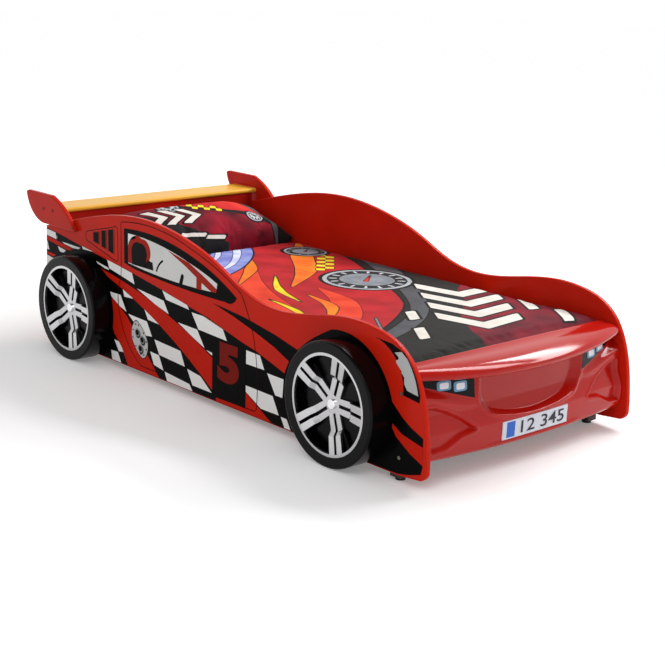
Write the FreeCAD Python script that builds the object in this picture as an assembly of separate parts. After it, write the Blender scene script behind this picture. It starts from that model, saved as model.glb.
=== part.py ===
import FreeCAD
import Part
import math
import os

# Children's racing-car bed for a single mattress, built from painted fibreboard panels.
# Frame: +X towards the bonnet, +Y to the left of someone lying in it, +Z up, and the
# origin on the floor under the middle of the bounding box. All lengths are millimetres.

# --- Space for the mattress -------------------------------------------------------
mattress_length = 1890.0
mattress_width = 896.0
mattress_height = 150.0
head_gap = 10.0
foot_gap = 4.0
side_gap = 23.0
slat_top_z = 185.0
soft_clearance = 0.3

# --- Boards and how far the body reaches past the mattress space ---------------------
board = 18.0
edge_round = 4.0
front_overhang = 153.0
rear_overhang = 205.0
panel_bottom_z = 28.0
touch_gap = 0.3

interior_length = mattress_length + head_gap + foot_gap
interior_width = mattress_width + 2 * side_gap
overall_length = interior_length + front_overhang + rear_overhang
foot_x = overall_length / 2 - front_overhang
head_x = -overall_length / 2 + rear_overhang
inner_y = interior_width / 2
outer_y = inner_y + board

# --- Side panel outline: heights of the roof line, the waist and the wing -------------
boot_drop = 60.0
roof_z = 598.0
waist_z = 419.0
wing_z = 464.0
nose_z = 103.0
panel_rear_reach = 89.0
panel_nose_reach = 122.0

# --- Tail fins and shelf ---------------------------------------------------------
fin_lead = 5.0
fin_height = 118.0
fin_front_reach = 146.0
fin_flat_back = 186.0
fin_flat_front = 19.0
shelf_drop = 69.0
shelf_overhang = 8.0
shelf_depth = 144.0
shelf_round = 8.0

# The fins stand a little above the roof line, the shelf hangs between them and the boot ends
# under the shelf.
fin_top_z = roof_z + fin_lead
fin_bottom_z = fin_top_z - fin_height
shelf_bottom_z = fin_top_z - shelf_drop
boot_z = shelf_bottom_z - boot_drop

# --- Wheels ----------------------------------------------------------------------
wheel_base = 1500.0
front_wheel_back = 236.0
tyre_radius = 200.0
tyre_depth = 78.0
tyre_wall = 10.0
tyre_shoulder = 7.0
rim_radius = 164.0
rim_lip = 10.0
rim_thickness = 9.0
rim_seat_clearance = 0.2
hub_dish = 24.0
hub_radius = 30.0
spoke_count = 5
spoke_width_hub = 46.0
spoke_width_rim = 60.0
spoke_slot = 11.0
spoke_inner_rise = 2.0
spoke_step_radius = 84.0
spoke_step_length = 15.0
spoke_step_rise = 13.0
cap_radius = 17.0
cap_height = 8.0
backing_thickness = 6.0
boss_radius = 30.0
wheel_bolt_circle = 98.0
wheel_bolts_per_wheel = 3
rim_sink = 2.0

# --- Slatted base ------------------------------------------------------------------
slat_count = 13
slat_width = 70.0
slat_thickness = 18.0
slat_end_gap = 3.0
slat_margin = 30.0
rail_width = 30.0
rail_height = 40.0
post_side = 45.0
leg_spread = 900.0
glide_radius = 16.0
glide_height = 10.0
end_board_bottom_z = 60.0

# --- Front moulding: bonnet lip, cheeks, recesses, lamps, plate -------------------------
footboard_top_z = 359.0
bonnet_back_z = 367.0
bonnet_nose_z = 347.0
bonnet_lip_z = 304.0
bonnet_end_setback = 68.0
bonnet_corner = 34.0
bonnet_round = 20.0
lip_under_round = 8.0
face_setback = 36.0
face_end_setback = 56.0
face_bottom_z = 75.0
face_bottom_round = 12.0
moulding_wall = 15.0
recess_depth = 12.0
grille_cheek_gap = 24.0
grille_bottom_z = 176.0
grille_corner = 55.0
cheek_recess_depth = 9.0
cheek_length = 200.0
cheek_tip_z = 165.0
cheek_end_margin = 18.7
cheek_top_z = 248.0
cheek_bottom_z = 104.0
lamp_end_margin = 22.7
lamp_width = 194.0
lamp_inner_z = 240.0
lamp_outer_z = 283.0
lamp_setback = 81.0
lamp_panel_thickness = 4.0
lens_width = 52.0
lens_height = 30.0
lens_thickness = 6.0
lens_corner = 9.0
lens_offsets = (54.0, 123.0)
lens_top_gap = 1.0
plate_width = 310.0
plate_height = 58.0
plate_thickness = 3.0
plate_z = 128.0
plate_corner = 4.0
screw_boss_radius = 10.0
moulding_screw_margin = 90.0
moulding_screw_rise = 35.0

moulding_half = inner_y - touch_gap
cheek_outer_y = moulding_half - cheek_end_margin
cheek_tip_y = cheek_outer_y - cheek_length
grille_half_width = cheek_tip_y - grille_cheek_gap
lamp_outer_y = moulding_half - lamp_end_margin
lamp_inner_y = lamp_outer_y - lamp_width

# --- Fasteners -----------------------------------------------------------------------
screw_head_radius = 6.0
screw_head_height = 2.2
screw_shank_radius = 2.5
screw_length = 45.0
rail_screw_length = 42.0
moulding_screw_length = 50.0
bolt_head_radius = 9.0
bolt_head_height = 4.0
bolt_shank_radius = 4.0
rail_screw_count = 5
low_screw_rise = 25.0
footboard_screw_drop = 75.0
headboard_screw_drop = 34.0

# --- Bedding ---------------------------------------------------------------------------
duvet_thickness = 46.0
duvet_crown = 12.0
duvet_edge_gap = 6.0
duvet_head_x = 300.0
duvet_foot_gap = 6.0
pillow_width = 780.0
pillow_offset_y = 65.0
pillow_back_gap = 8.0
pillow_depth = 272.0
pillow_rise = 186.0

os.makedirs("parts", exist_ok=True)

V = FreeCAD.Vector


def save(node, shape):
    """Writes one sub-part under its node name and reports its size."""
    shape.exportStep("parts/" + node + ".step")
    print(node, len(shape.Solids), "solid(s)", round(shape.Volume / 1000.0, 1), "cm3", shape.isValid())


def group(solids):
    """Identical loose pieces that share one node."""
    return Part.Compound(solids)


def box(x0, x1, y0, y1, z0, z1):
    """A block given by its six faces."""
    return Part.makeBox(x1 - x0, y1 - y0, z1 - z0, V(x0, y0, z0))


def mirrored(shape):
    """The same piece on the other side of the bed's long centre plane."""
    return shape.mirror(V(0, 0, 0), V(0, 1, 0))


def prism(edges, direction):
    """A closed run of edges filled and pushed out along a direction."""
    wire = Part.Wire(Part.__sortEdges__(edges))
    return Part.Face(wire).extrude(direction)


def line(a, b):
    return Part.LineSegment(a, b).toShape()


def arc(a, middle, b):
    return Part.Arc(a, middle, b).toShape()


def polygon_prism(points, direction):
    """A prism over a plain polygon."""
    corners = points + [points[0]]
    return Part.Face(Part.makePolygon(corners)).extrude(direction)


def rounded(shape, radius, chosen):
    """Rounds the edges that the test picks, or leaves the shape square if none is picked."""
    edges = [edge for edge in shape.Edges if chosen(edge)]
    if not edges:
        return shape
    return shape.makeFillet(radius, edges)


def on_plane(edge, axis, value):
    """True where both ends of an edge lie on one plane square to an axis."""
    return all(abs(getattr(vertex.Point, axis) - value) < 0.01 for vertex in edge.Vertexes)


def screw(point, direction, length, head_radius, head_height, shank_radius):
    """Countersunk-style screw: a low round head outside the face and a plain shank inside."""
    head = Part.makeCylinder(head_radius, head_height, point, direction * -1)
    shank = Part.makeCylinder(shank_radius, length, point, direction)
    return head.fuse(shank)


def hole(point, direction, length, radius):
    return Part.makeCylinder(radius, length, point, direction)


# === Side panels ============================================================================
# The roof line rises from the boot, peaks over the door, drops to the waist where a child
# climbs in, swells again over the front wheel and turns down at the nose.

def roof_line():
    """Points of the top edge from the boot corner to the nose, tied to both end boards."""
    climb = roof_z - boot_z
    drop = roof_z - waist_z
    swell = wing_z - waist_z
    fall = wing_z - nose_z
    rear = [(-panel_rear_reach, boot_z), (106.0, boot_z + 0.411 * climb),
            (336.0, boot_z + 0.831 * climb), (568.0, roof_z + 1.0),
            (738.0, waist_z + 0.927 * drop), (916.0, waist_z + 0.704 * drop)]
    front = [(874.0, waist_z + 0.475 * drop), (741.0, waist_z + 0.151 * drop),
             (668.0, waist_z + 0.045 * drop), (566.0, waist_z), (447.0, waist_z + 0.267 * swell),
             (304.0, waist_z + 0.822 * swell), (201.0, wing_z), (100.0, wing_z - 0.025 * fall),
             (21.0, wing_z - 0.091 * fall), (-46.0, wing_z - 0.238 * fall),
             (-89.0, wing_z - 0.457 * fall), (-112.0, wing_z - 0.717 * fall),
             (-panel_nose_reach, nose_z)]
    points = [(head_x + reach, height) for reach, height in rear]
    return points + [(foot_x - back, height) for back, height in front]


def side_panel():
    points = [V(x, inner_y, z) for x, z in roof_line()]
    roof = Part.BSplineCurve()
    roof.interpolate(points)
    rear_top = points[0]
    nose = points[-1]
    chin = V(nose.x, inner_y, panel_bottom_z + 34.0)
    chin_corner = V(nose.x - 9.0, inner_y, panel_bottom_z + 18.0)
    chin_foot = V(nose.x - 26.0, inner_y, panel_bottom_z + 8.0)
    belly_front = V(nose.x - 110.0, inner_y, panel_bottom_z)
    belly_rear = V(rear_top.x + 8.0, inner_y, panel_bottom_z)
    heel_middle = V(rear_top.x - 9.0, inner_y, panel_bottom_z + 7.0)
    heel = V(rear_top.x - 16.0, inner_y, panel_bottom_z + 24.0)
    edges = [roof.toShape(), line(nose, chin), arc(chin, chin_corner, chin_foot),
             line(chin_foot, belly_front), line(belly_front, belly_rear),
             arc(belly_rear, heel_middle, heel), line(heel, rear_top)]
    panel = prism(edges, V(0, board, 0))
    return rounded(panel, edge_round, lambda edge: on_plane(edge, "y", outer_y)
                   or on_plane(edge, "y", inner_y))


side_panel_left = side_panel()

# === End boards ==============================================================================
# The headboard reaches up to the shelf; the footboard stands under the bonnet.

headboard = box(head_x - board, head_x, -inner_y, inner_y, end_board_bottom_z, shelf_bottom_z)
footboard = box(foot_x, foot_x + board, -inner_y, inner_y, end_board_bottom_z, footboard_top_z)

# === Tail fins and the shelf between them ========================================================
fin_rear_x = -overall_length / 2
fin_front_x = head_x + fin_front_reach


def tail_fin():
    """Fin board: flat top, front edge curving down to a tip, rear edge swept under."""
    top_back = V(head_x - fin_flat_back, outer_y, fin_top_z)
    top_front = V(head_x - fin_flat_front, outer_y, fin_top_z)
    tip = V(fin_front_x, outer_y, fin_bottom_z + 6.0)
    tip_middle = V(fin_front_x - 1.8, outer_y, fin_bottom_z + 1.8)
    tip_foot = V(fin_front_x - 6.0, outer_y, fin_bottom_z)
    bottom_back = V(head_x - 84.0, outer_y, fin_bottom_z)
    rear_point = V(fin_rear_x, outer_y, fin_top_z - 8.0)
    rear_round = V(fin_rear_x + 8.7, outer_y, fin_top_z - 2.1)
    rear_sweep = V(head_x - 172.0, outer_y, fin_bottom_z + 44.0)
    brow = V(head_x + 58.0, outer_y, fin_top_z - 35.0)
    edges = [line(top_back, top_front), arc(top_front, brow, tip), arc(tip, tip_middle, tip_foot),
             line(tip_foot, bottom_back), arc(bottom_back, rear_sweep, rear_point),
             arc(rear_point, rear_round, top_back)]
    fin = prism(edges, V(0, board, 0))
    return rounded(fin, edge_round, lambda edge: on_plane(edge, "y", outer_y + board)
                   or on_plane(edge, "y", outer_y))


tail_fin_left = tail_fin()
shelf_front_x = head_x + shelf_overhang
shelf_rear_x = shelf_front_x - shelf_depth
shelf = box(shelf_rear_x, shelf_front_x, -outer_y, outer_y, shelf_bottom_z, shelf_bottom_z + board)
shelf = rounded(shelf, shelf_round, lambda edge: on_plane(edge, "x", shelf_front_x)
                and abs(edge.Length - 2 * outer_y) < 0.01)

# === Screws that show on the outside ============================================================
low_screw_z = end_board_bottom_z + low_screw_rise
footboard_screw_heights = (low_screw_z, footboard_top_z - footboard_screw_drop)
headboard_screw_heights = (low_screw_z, boot_z - headboard_screw_drop)
fin_screw_z = shelf_bottom_z + board / 2
fin_screw_x = (shelf_front_x - 85.0, shelf_front_x - 19.0)
fin_tip_screw = V(fin_front_x - 13.0, outer_y + board, fin_bottom_z + 13.0)


def side_screws():
    """Screw points on the left side, each with the face that its head sits on."""
    into_footboard = [V(foot_x + board / 2, outer_y, z) for z in footboard_screw_heights]
    into_headboard = [V(head_x - board / 2, outer_y, z) for z in headboard_screw_heights]
    return into_footboard + into_headboard


inward = V(0, -1, 0)
panel_screw_points = side_screws()
fin_screw_points = [V(x, outer_y + board, fin_screw_z) for x in fin_screw_x]
panel_screws = []
for point in panel_screw_points:
    made = screw(point, inward, screw_length, screw_head_radius, screw_head_height, screw_shank_radius)
    panel_screws += [made, mirrored(made)]
    bore = hole(point, inward, screw_length, screw_shank_radius)
    side_panel_left = side_panel_left.cut(bore)
    headboard = headboard.cut(bore).cut(mirrored(bore))
    footboard = footboard.cut(bore).cut(mirrored(bore))
fin_screws = []
for point in fin_screw_points:
    made = screw(point, inward, screw_length, screw_head_radius, screw_head_height, screw_shank_radius)
    fin_screws += [made, mirrored(made)]
    bore = hole(point, inward, screw_length, screw_shank_radius)
    tail_fin_left = tail_fin_left.cut(bore)
    shelf = shelf.cut(bore).cut(mirrored(bore))
tip_length = 2 * board - 4.0
made = screw(fin_tip_screw, inward, tip_length, screw_head_radius, screw_head_height, screw_shank_radius)
fin_screws += [made, mirrored(made)]
bore = hole(fin_tip_screw, inward, tip_length, screw_shank_radius)
tail_fin_left = tail_fin_left.cut(bore)
side_panel_left = side_panel_left.cut(bore)

# === Slatted base: rails, centre rail, posts, legs, glides =========================================
rail_top_z = slat_top_z - slat_thickness
rail_bottom_z = rail_top_z - rail_height
side_rail_left = box(head_x, foot_x, inner_y - rail_width, inner_y, rail_bottom_z, rail_top_z)
centre_rail = box(head_x, foot_x, -rail_height / 2, rail_height / 2, rail_bottom_z, rail_top_z)
corner_post_rear = box(head_x, head_x + post_side, inner_y - post_side, inner_y,
                       glide_height, rail_bottom_z)
corner_post_front = box(foot_x - post_side, foot_x, inner_y - post_side, inner_y,
                        glide_height, rail_bottom_z)
middle_x = (head_x + foot_x) / 2
centre_legs = [box(x - rail_height / 2, x + rail_height / 2, -rail_height / 2, rail_height / 2,
                   glide_height, rail_bottom_z)
               for x in (middle_x - leg_spread / 2, middle_x + leg_spread / 2)]
glides = []
for x in (head_x + post_side / 2, foot_x - post_side / 2):
    for y in (inner_y - post_side / 2, post_side / 2 - inner_y):
        glides.append(Part.makeCylinder(glide_radius, glide_height, V(x, y, 0)))
for x in (middle_x - leg_spread / 2, middle_x + leg_spread / 2):
    glides.append(Part.makeCylinder(glide_radius, glide_height, V(x, 0, 0)))

slat_first_x = head_x + slat_margin + slat_width / 2
slat_pitch = (interior_length - 2 * slat_margin - slat_width) / (slat_count - 1)
slat_blank = box(-slat_width / 2, slat_width / 2, -inner_y + slat_end_gap, inner_y - slat_end_gap,
                 rail_top_z, slat_top_z)
slat_blank = rounded(slat_blank, 3.0, lambda edge: on_plane(edge, "z", slat_top_z)
                     and edge.Length > slat_width + 1.0)

rail_screws = []
rail_screw_pitch = (interior_length - 2 * slat_width) / (rail_screw_count - 1)
outward = V(0, 1, 0)
for index in range(rail_screw_count):
    point = V(head_x + slat_width + index * rail_screw_pitch, inner_y - rail_width,
              (rail_top_z + rail_bottom_z) / 2)
    made = screw(point, outward, rail_screw_length, screw_head_radius, screw_head_height,
                 screw_shank_radius)
    rail_screws += [made, mirrored(made)]
    bore = hole(point, outward, rail_screw_length, screw_shank_radius)
    side_rail_left = side_rail_left.cut(bore)
    side_panel_left = side_panel_left.cut(bore)

# === Wheels: tyre tub, backing disc, spoked rim, centre cap ==========================================
# Each wheel is a moulded tub screwed to the panel. It turns with nothing, but it reaches the floor.
front_wheel_x = foot_x - front_wheel_back
wheel_x = {"front": front_wheel_x, "rear": front_wheel_x - wheel_base}
tyre_face_y = tyre_depth
rim_face_y = tyre_depth - rim_sink
hub_y = rim_face_y - hub_dish
backing_y = hub_y - rim_thickness - backing_thickness


def turned(points):
    """A solid of revolution about the wheel's axle, from (radius, depth) points."""
    corners = [V(radius, depth, 0) for radius, depth in points]
    face = Part.Face(Part.makePolygon(corners + [corners[0]]))
    return face.revolve(V(0, 0, 0), V(0, 1, 0), 360)


def tyre_tub():
    """Tyre ring with a back wall and a central boss; the outer shoulder is well rounded."""
    outer = Part.makeCylinder(tyre_radius, tyre_depth, V(0, 0, 0), V(0, 1, 0))
    outer = rounded(outer, tyre_shoulder, lambda edge: len(edge.Vertexes) == 1
                    and on_plane(edge, "y", tyre_depth))
    dish = Part.makeCylinder(rim_radius, tyre_depth, V(0, tyre_wall, 0), V(0, 1, 0))
    boss = Part.makeCylinder(boss_radius, backing_y - tyre_wall, V(0, tyre_wall, 0), V(0, 1, 0))
    return outer.cut(dish).fuse(boss)


def spoke_pair(angle):
    """Two bars with a slot between them, wider at the rim, seen along the axle."""
    reach = rim_radius - rim_lip / 2
    shapes = []
    for side in (-1, 1):
        corners = [V(0, 0, side * spoke_slot / 2), V(reach, 0, side * spoke_slot / 2),
                   V(reach, 0, side * spoke_width_rim / 2), V(0, 0, side * spoke_width_hub / 2)]
        shapes.append(polygon_prism(corners, V(0, tyre_depth, 0)))
    pair = shapes[0].fuse(shapes[1])
    pair.rotate(V(0, 0, 0), V(0, 1, 0), angle)
    return pair


def spoked_rim():
    """The plan of ring, hub and spokes, cut out of a dished shell that steps up halfway out."""
    rim_outer = rim_radius - rim_seat_clearance
    plan = Part.makeCylinder(rim_outer, tyre_depth, V(0, 0, 0), V(0, 1, 0))
    plan = plan.cut(Part.makeCylinder(rim_radius - rim_lip, tyre_depth, V(0, 0, 0), V(0, 1, 0)))
    plan = plan.fuse(Part.makeCylinder(hub_radius, tyre_depth, V(0, 0, 0), V(0, 1, 0)))
    for index in range(spoke_count):
        plan = plan.fuse(spoke_pair(-index * 360.0 / spoke_count))
    step_foot_y = hub_y + spoke_inner_rise
    step_top_y = step_foot_y + spoke_step_rise
    step_outer_radius = spoke_step_radius + spoke_step_length
    front = [(0, hub_y), (hub_radius, hub_y), (spoke_step_radius, step_foot_y),
             (step_outer_radius, step_top_y), (rim_radius - rim_lip, rim_face_y), (rim_outer, rim_face_y)]
    back = [(0, hub_y - rim_thickness), (hub_radius, hub_y - rim_thickness),
            (spoke_step_radius, step_foot_y - rim_thickness),
            (step_outer_radius, step_top_y - rim_thickness), (rim_outer, rim_face_y - rim_thickness)]
    dish = turned(back + front[::-1])
    return plan.common(dish)


def centre_cap():
    """Low domed cap on the hub."""
    cap = Part.makeCylinder(cap_radius, cap_height, V(0, hub_y, 0), V(0, 1, 0))
    return rounded(cap, cap_height * 0.45, lambda edge: len(edge.Vertexes) == 1
                   and on_plane(edge, "y", hub_y + cap_height))


def backing_disc():
    return Part.makeCylinder(rim_radius - 1.0, backing_thickness, V(0, backing_y, 0), V(0, 1, 0))


def bolt_points():
    """Places of the bolts that hold a wheel, on a circle about its axle, the first straight down."""
    step = 2 * math.pi / wheel_bolts_per_wheel
    return [V(wheel_bolt_circle * math.sin(k * step), 0, -wheel_bolt_circle * math.cos(k * step))
            for k in range(wheel_bolts_per_wheel)]


tyre = tyre_tub()
rim = spoked_rim()
cap = centre_cap()
backing = backing_disc()
wheel_bolts = []
wheel_bolt_length = board + tyre_wall
for offset in bolt_points():
    tyre = tyre.cut(hole(offset, V(0, 1, 0), tyre_wall, bolt_shank_radius))
for x in wheel_x.values():
    for offset in bolt_points():
        point = V(x + offset.x, inner_y, tyre_radius + offset.z)
        made = screw(point, outward, wheel_bolt_length, bolt_head_radius, bolt_head_height,
                     bolt_shank_radius)
        wheel_bolts += [made, mirrored(made)]
        side_panel_left = side_panel_left.cut(hole(point, outward, board, bolt_shank_radius))

# === Front moulding: bonnet lip over a bumper with recesses ============================================
nose_x = overall_length / 2
footboard_face_x = foot_x + board


def bowed_block(centre_x, end_x, half, back_x, z0, z1):
    """A block whose front is bowed in plan, from its ends to the middle."""
    left = V(end_x, half, z0)
    right = V(end_x, -half, z0)
    crown = V(centre_x, 0, z0)
    back_left = V(back_x, half, z0)
    back_right = V(back_x, -half, z0)
    edges = [arc(left, crown, right), line(right, back_right), line(back_right, back_left),
             line(back_left, left)]
    return prism(edges, V(0, 0, z1 - z0))


def middle_of(edge):
    """The point halfway along an edge."""
    return edge.valueAt((edge.FirstParameter + edge.LastParameter) / 2)


def bonnet():
    """Bonnet lip: bowed in plan, sloping forward, with a full rounded nose."""
    block = bowed_block(nose_x, nose_x - bonnet_end_setback, moulding_half, foot_x,
                        bonnet_lip_z, bonnet_back_z)
    lip_height = bonnet_back_z - bonnet_lip_z
    block = rounded(block, bonnet_corner, lambda edge: abs(edge.Length - lip_height) < 0.01
                    and middle_of(edge).x > footboard_face_x + bonnet_corner)
    above = bonnet_back_z + lip_height
    slope = polygon_prism([V(foot_x, -outer_y, bonnet_back_z), V(nose_x, -outer_y, bonnet_nose_z),
                           V(nose_x, -outer_y, above), V(foot_x, -outer_y, above)],
                          V(0, 2 * outer_y, 0))
    block = block.cut(slope)
    seat = box(foot_x, footboard_face_x, -outer_y, outer_y, bonnet_lip_z, footboard_top_z)
    block = block.cut(seat)

    def nose_top(edge):
        start = edge.Vertexes[0].Point
        end = edge.Vertexes[-1].Point
        middle = middle_of(edge)
        return (middle.z > (bonnet_lip_z + bonnet_nose_z) / 2 and middle.x > footboard_face_x + bonnet_corner
                and abs(start.z - end.z) < lip_height / 4 and abs(middle.y) < moulding_half - 0.5)

    def lip_under(edge):
        return on_plane(edge, "z", bonnet_lip_z) and middle_of(edge).x > footboard_face_x + bonnet_corner

    block = rounded(block, bonnet_round, nose_top)
    return rounded(block, lip_under_round, lip_under)


def face_block(inset):
    """The bumper's solid behind its bowed face, set back by an inset."""
    centre_x = nose_x - face_setback - inset
    end_x = nose_x - face_end_setback - inset
    return bowed_block(centre_x, end_x, moulding_half, footboard_face_x, face_bottom_z, bonnet_lip_z)


def recess(outline, depth):
    """A pocket of even depth behind the bowed face, from an outline in the YZ plane."""
    return outline.cut(face_block(depth))


def grille_outline():
    x = footboard_face_x
    top = bonnet_lip_z
    w = grille_half_width
    r = grille_corner
    low = grille_bottom_z
    k = r * (1 - math.sqrt(0.5))
    edges = [line(V(x, -w, top), V(x, w, top)),
             line(V(x, w, top), V(x, w - 6.0, low + r)),
             arc(V(x, w - 6.0, low + r), V(x, w - 6.0 - k, low + k), V(x, w - 6.0 - r, low)),
             arc(V(x, w - 6.0 - r, low), V(x, 0, low - 5.0), V(x, r + 6.0 - w, low)),
             arc(V(x, r + 6.0 - w, low), V(x, k + 6.0 - w, low + k), V(x, 6.0 - w, low + r)),
             line(V(x, 6.0 - w, low + r), V(x, -w, top))]
    return prism(edges, V(200.0, 0, 0))


def cheek_outline():
    """Side pocket: upright outer edge, drawn to a rounded point towards the middle."""
    x = footboard_face_x
    outer_top = V(x, cheek_outer_y, cheek_top_z)
    outer_low = V(x, cheek_outer_y, cheek_bottom_z + 8.0)
    low = V(x, cheek_outer_y - 60.0, cheek_bottom_z)
    tip_low = V(x, cheek_tip_y + 6.0, cheek_tip_z - 9.0)
    tip = V(x, cheek_tip_y, cheek_tip_z)
    tip_top = V(x, cheek_tip_y + 7.0, cheek_tip_z + 8.0)
    edges = [line(outer_top, outer_low), line(outer_low, low),
             arc(low, V(x, cheek_tip_y + 62.0, cheek_bottom_z + 18.0), tip_low),
             arc(tip_low, tip, tip_top),
             arc(tip_top, V(x, cheek_tip_y + 96.0, cheek_top_z - 24.0), outer_top)]
    return prism(edges, V(200.0, 0, 0))


lamp_floor_x = nose_x - lamp_setback


def lamp_outline(x, grow, reach):
    """Slanted lamp opening under the bonnet lip."""
    points = [V(x, lamp_inner_y - grow, bonnet_lip_z), V(x, lamp_inner_y - grow, lamp_inner_z - grow),
              V(x, lamp_outer_y + grow, lamp_outer_z - grow), V(x, lamp_outer_y + grow, bonnet_lip_z)]
    return polygon_prism(points, V(reach, 0, 0))


def front_moulding():
    body = face_block(0.0)
    body = rounded(body, face_bottom_round, lambda edge: on_plane(edge, "z", face_bottom_z)
                   and middle_of(edge).x > nose_x - face_end_setback)
    body = body.cut(recess(grille_outline(), recess_depth))
    cheek = recess(cheek_outline(), cheek_recess_depth)
    body = body.cut(cheek).cut(mirrored(cheek))
    lamp_pocket = lamp_outline(lamp_floor_x, 0.0, 100.0)
    body = body.cut(lamp_pocket).cut(mirrored(lamp_pocket))
    cavity_top_z = lamp_inner_z - moulding_wall
    hollow_x = nose_x - face_end_setback - recess_depth - moulding_wall
    hollow = box(footboard_face_x - 1.0, hollow_x, -moulding_half + moulding_wall,
                 moulding_half - moulding_wall, face_bottom_z + moulding_wall, cavity_top_z)
    upper_hollow = box(footboard_face_x - 1.0, lamp_floor_x - lamp_panel_thickness - moulding_wall,
                       -moulding_half + moulding_wall, moulding_half - moulding_wall,
                       cavity_top_z - 1.0, bonnet_nose_z - moulding_wall)
    bosses = []
    for y in moulding_screw_y:
        bosses.append(Part.makeCylinder(screw_boss_radius, hollow_x - footboard_face_x + 1.0,
                                        V(footboard_face_x, y, moulding_screw_z), V(1, 0, 0)))
    body = body.fuse(bonnet())
    body = body.cut(hollow).cut(upper_hollow)
    for boss in bosses:
        body = body.fuse(boss)
    return body.removeSplitter()


outer_screw_y = moulding_half - moulding_screw_margin
moulding_screw_y = (-outer_screw_y, -outer_screw_y / 3, outer_screw_y / 3, outer_screw_y)
moulding_screw_z = face_bottom_z + moulding_screw_rise
moulding = front_moulding()
forward = V(1, 0, 0)
moulding_screws = []
for y in moulding_screw_y:
    point = V(foot_x, y, moulding_screw_z)
    moulding_screws.append(screw(point, forward, moulding_screw_length, screw_head_radius,
                                 screw_head_height, screw_shank_radius))
    bore = hole(point, forward, moulding_screw_length, screw_shank_radius)
    footboard = footboard.cut(bore)
    moulding = moulding.cut(bore)

# Lamp panels fill the floor of their openings; the lenses stand on them.
lamp_panel_left = lamp_outline(lamp_floor_x, -touch_gap, lamp_panel_thickness)
lens_centre_z = bonnet_lip_z - lens_top_gap - lens_height / 2


def lens(y):
    x = lamp_floor_x + lamp_panel_thickness
    blank = box(x, x + lens_thickness, y - lens_width / 2, y + lens_width / 2,
                lens_centre_z - lens_height / 2, lens_centre_z + lens_height / 2)
    return rounded(blank, lens_corner, lambda edge: abs(edge.Length - lens_thickness) < 0.01)


lamp_lenses = []
for offset in lens_offsets:
    made = lens(lamp_inner_y + offset)
    lamp_lenses += [made, mirrored(made)]

# Number plate on the bumper, cut to the bow of the face behind it.
plate = box(nose_x - face_end_setback, nose_x, -plate_width / 2, plate_width / 2,
            plate_z - plate_height / 2, plate_z + plate_height / 2)
plate = rounded(plate, plate_corner, lambda edge: abs(edge.Length - face_end_setback) < 0.01)
plate = plate.cut(face_block(0.0)).common(face_block(-plate_thickness))

# === Bedding ===================================================================================
# Mattress, duvet and pillow are separate soft pieces that lift off. They carry their own form:
# the crown, and for the pillow the drawn-in corners.
mattress_bottom_z = slat_top_z + soft_clearance
mattress_top_z = mattress_bottom_z + mattress_height
mattress = box(head_x + head_gap, foot_x - foot_gap, -mattress_width / 2, mattress_width / 2,
               mattress_bottom_z, mattress_top_z)
mattress = rounded(mattress, 28.0, lambda edge: abs(edge.Length - mattress_height) < 0.01)
mattress = rounded(mattress, 14.0, lambda edge: on_plane(edge, "z", mattress_top_z)
                   or on_plane(edge, "z", mattress_bottom_z))


def crowned_section(x, half, bottom, edge, crown):
    """One cross-section of bedding: flat below, full round sides, a shallow arched top."""
    side = edge / 2
    left_low = V(x, -half + side, bottom)
    right_low = V(x, half - side, bottom)
    right_top = V(x, half - side, bottom + edge)
    left_top = V(x, -half + side, bottom + edge)
    edges = [line(left_low, right_low), arc(right_low, V(x, half, bottom + side), right_top),
             arc(right_top, V(x, 0, bottom + edge + crown), left_top),
             arc(left_top, V(x, -half, bottom + side), left_low)]
    return Part.Wire(edges)


duvet_bottom_z = mattress_top_z + soft_clearance
duvet_half = inner_y - duvet_edge_gap
duvet_head = head_x + duvet_head_x
duvet_foot = foot_x - duvet_foot_gap
duvet_edge = duvet_thickness - duvet_crown
duvet = Part.Face(crowned_section(duvet_head, duvet_half, duvet_bottom_z, duvet_edge, duvet_crown))
duvet = duvet.extrude(V(duvet_foot - duvet_head, 0, 0))
duvet = rounded(duvet, duvet_edge * 0.45, lambda edge: (on_plane(edge, "x", duvet_head)
                or on_plane(edge, "x", duvet_foot)) and edge.Length > duvet_half
                and edge.Vertexes[0].Point.z > duvet_bottom_z + 1.0)


def lifting_arc(start, end):
    """An arc that leaves its start level and bends up to its end."""
    reach = end.x - start.x
    turn = 2 * math.atan2(end.z - start.z, abs(reach))
    radius = reach / math.sin(turn)
    middle = V(start.x + radius * math.sin(turn / 2), start.y,
               start.z + abs(radius) * (1 - math.cos(turn / 2)))
    return arc(start, middle, end)


def pillow_section(y, back_x, depth, bottom, height):
    """One cross-section of the pillow, which leans back: flat below, a low front edge, a full back."""
    waist = V(back_x, y, bottom + 0.45 * height)
    low_back = V(back_x + 0.26 * depth, y, bottom)
    low_front = V(back_x + 0.82 * depth, y, bottom)
    nose = V(back_x + depth, y, bottom + 0.26 * height)
    top = V(back_x + 0.26 * depth, y, bottom + height)
    edges = [line(low_back, low_front), lifting_arc(low_front, nose),
             arc(nose, V(back_x + 0.70 * depth, y, bottom + 0.76 * height), top),
             arc(top, V(back_x + 0.06 * depth, y, bottom + 0.84 * height), waist),
             lifting_arc(low_back, waist)]
    return Part.Wire(edges)


pillow_bottom_z = mattress_top_z + soft_clearance
pillow_back = head_x + head_gap + pillow_back_gap
pillow_stations = ((-0.5, 0.84, 0.60), (-0.44, 0.95, 0.80), (-0.30, 0.99, 0.94), (0.0, 1.0, 1.0),
                   (0.30, 0.99, 0.94), (0.44, 0.95, 0.80), (0.5, 0.84, 0.60))
pillow = Part.makeLoft([pillow_section(pillow_offset_y + share * pillow_width,
                                       pillow_back + 0.5 * (1 - deep) * pillow_depth,
                                       deep * pillow_depth, pillow_bottom_z, tall * pillow_rise)
                        for share, deep, tall in pillow_stations], True, False)

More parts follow.
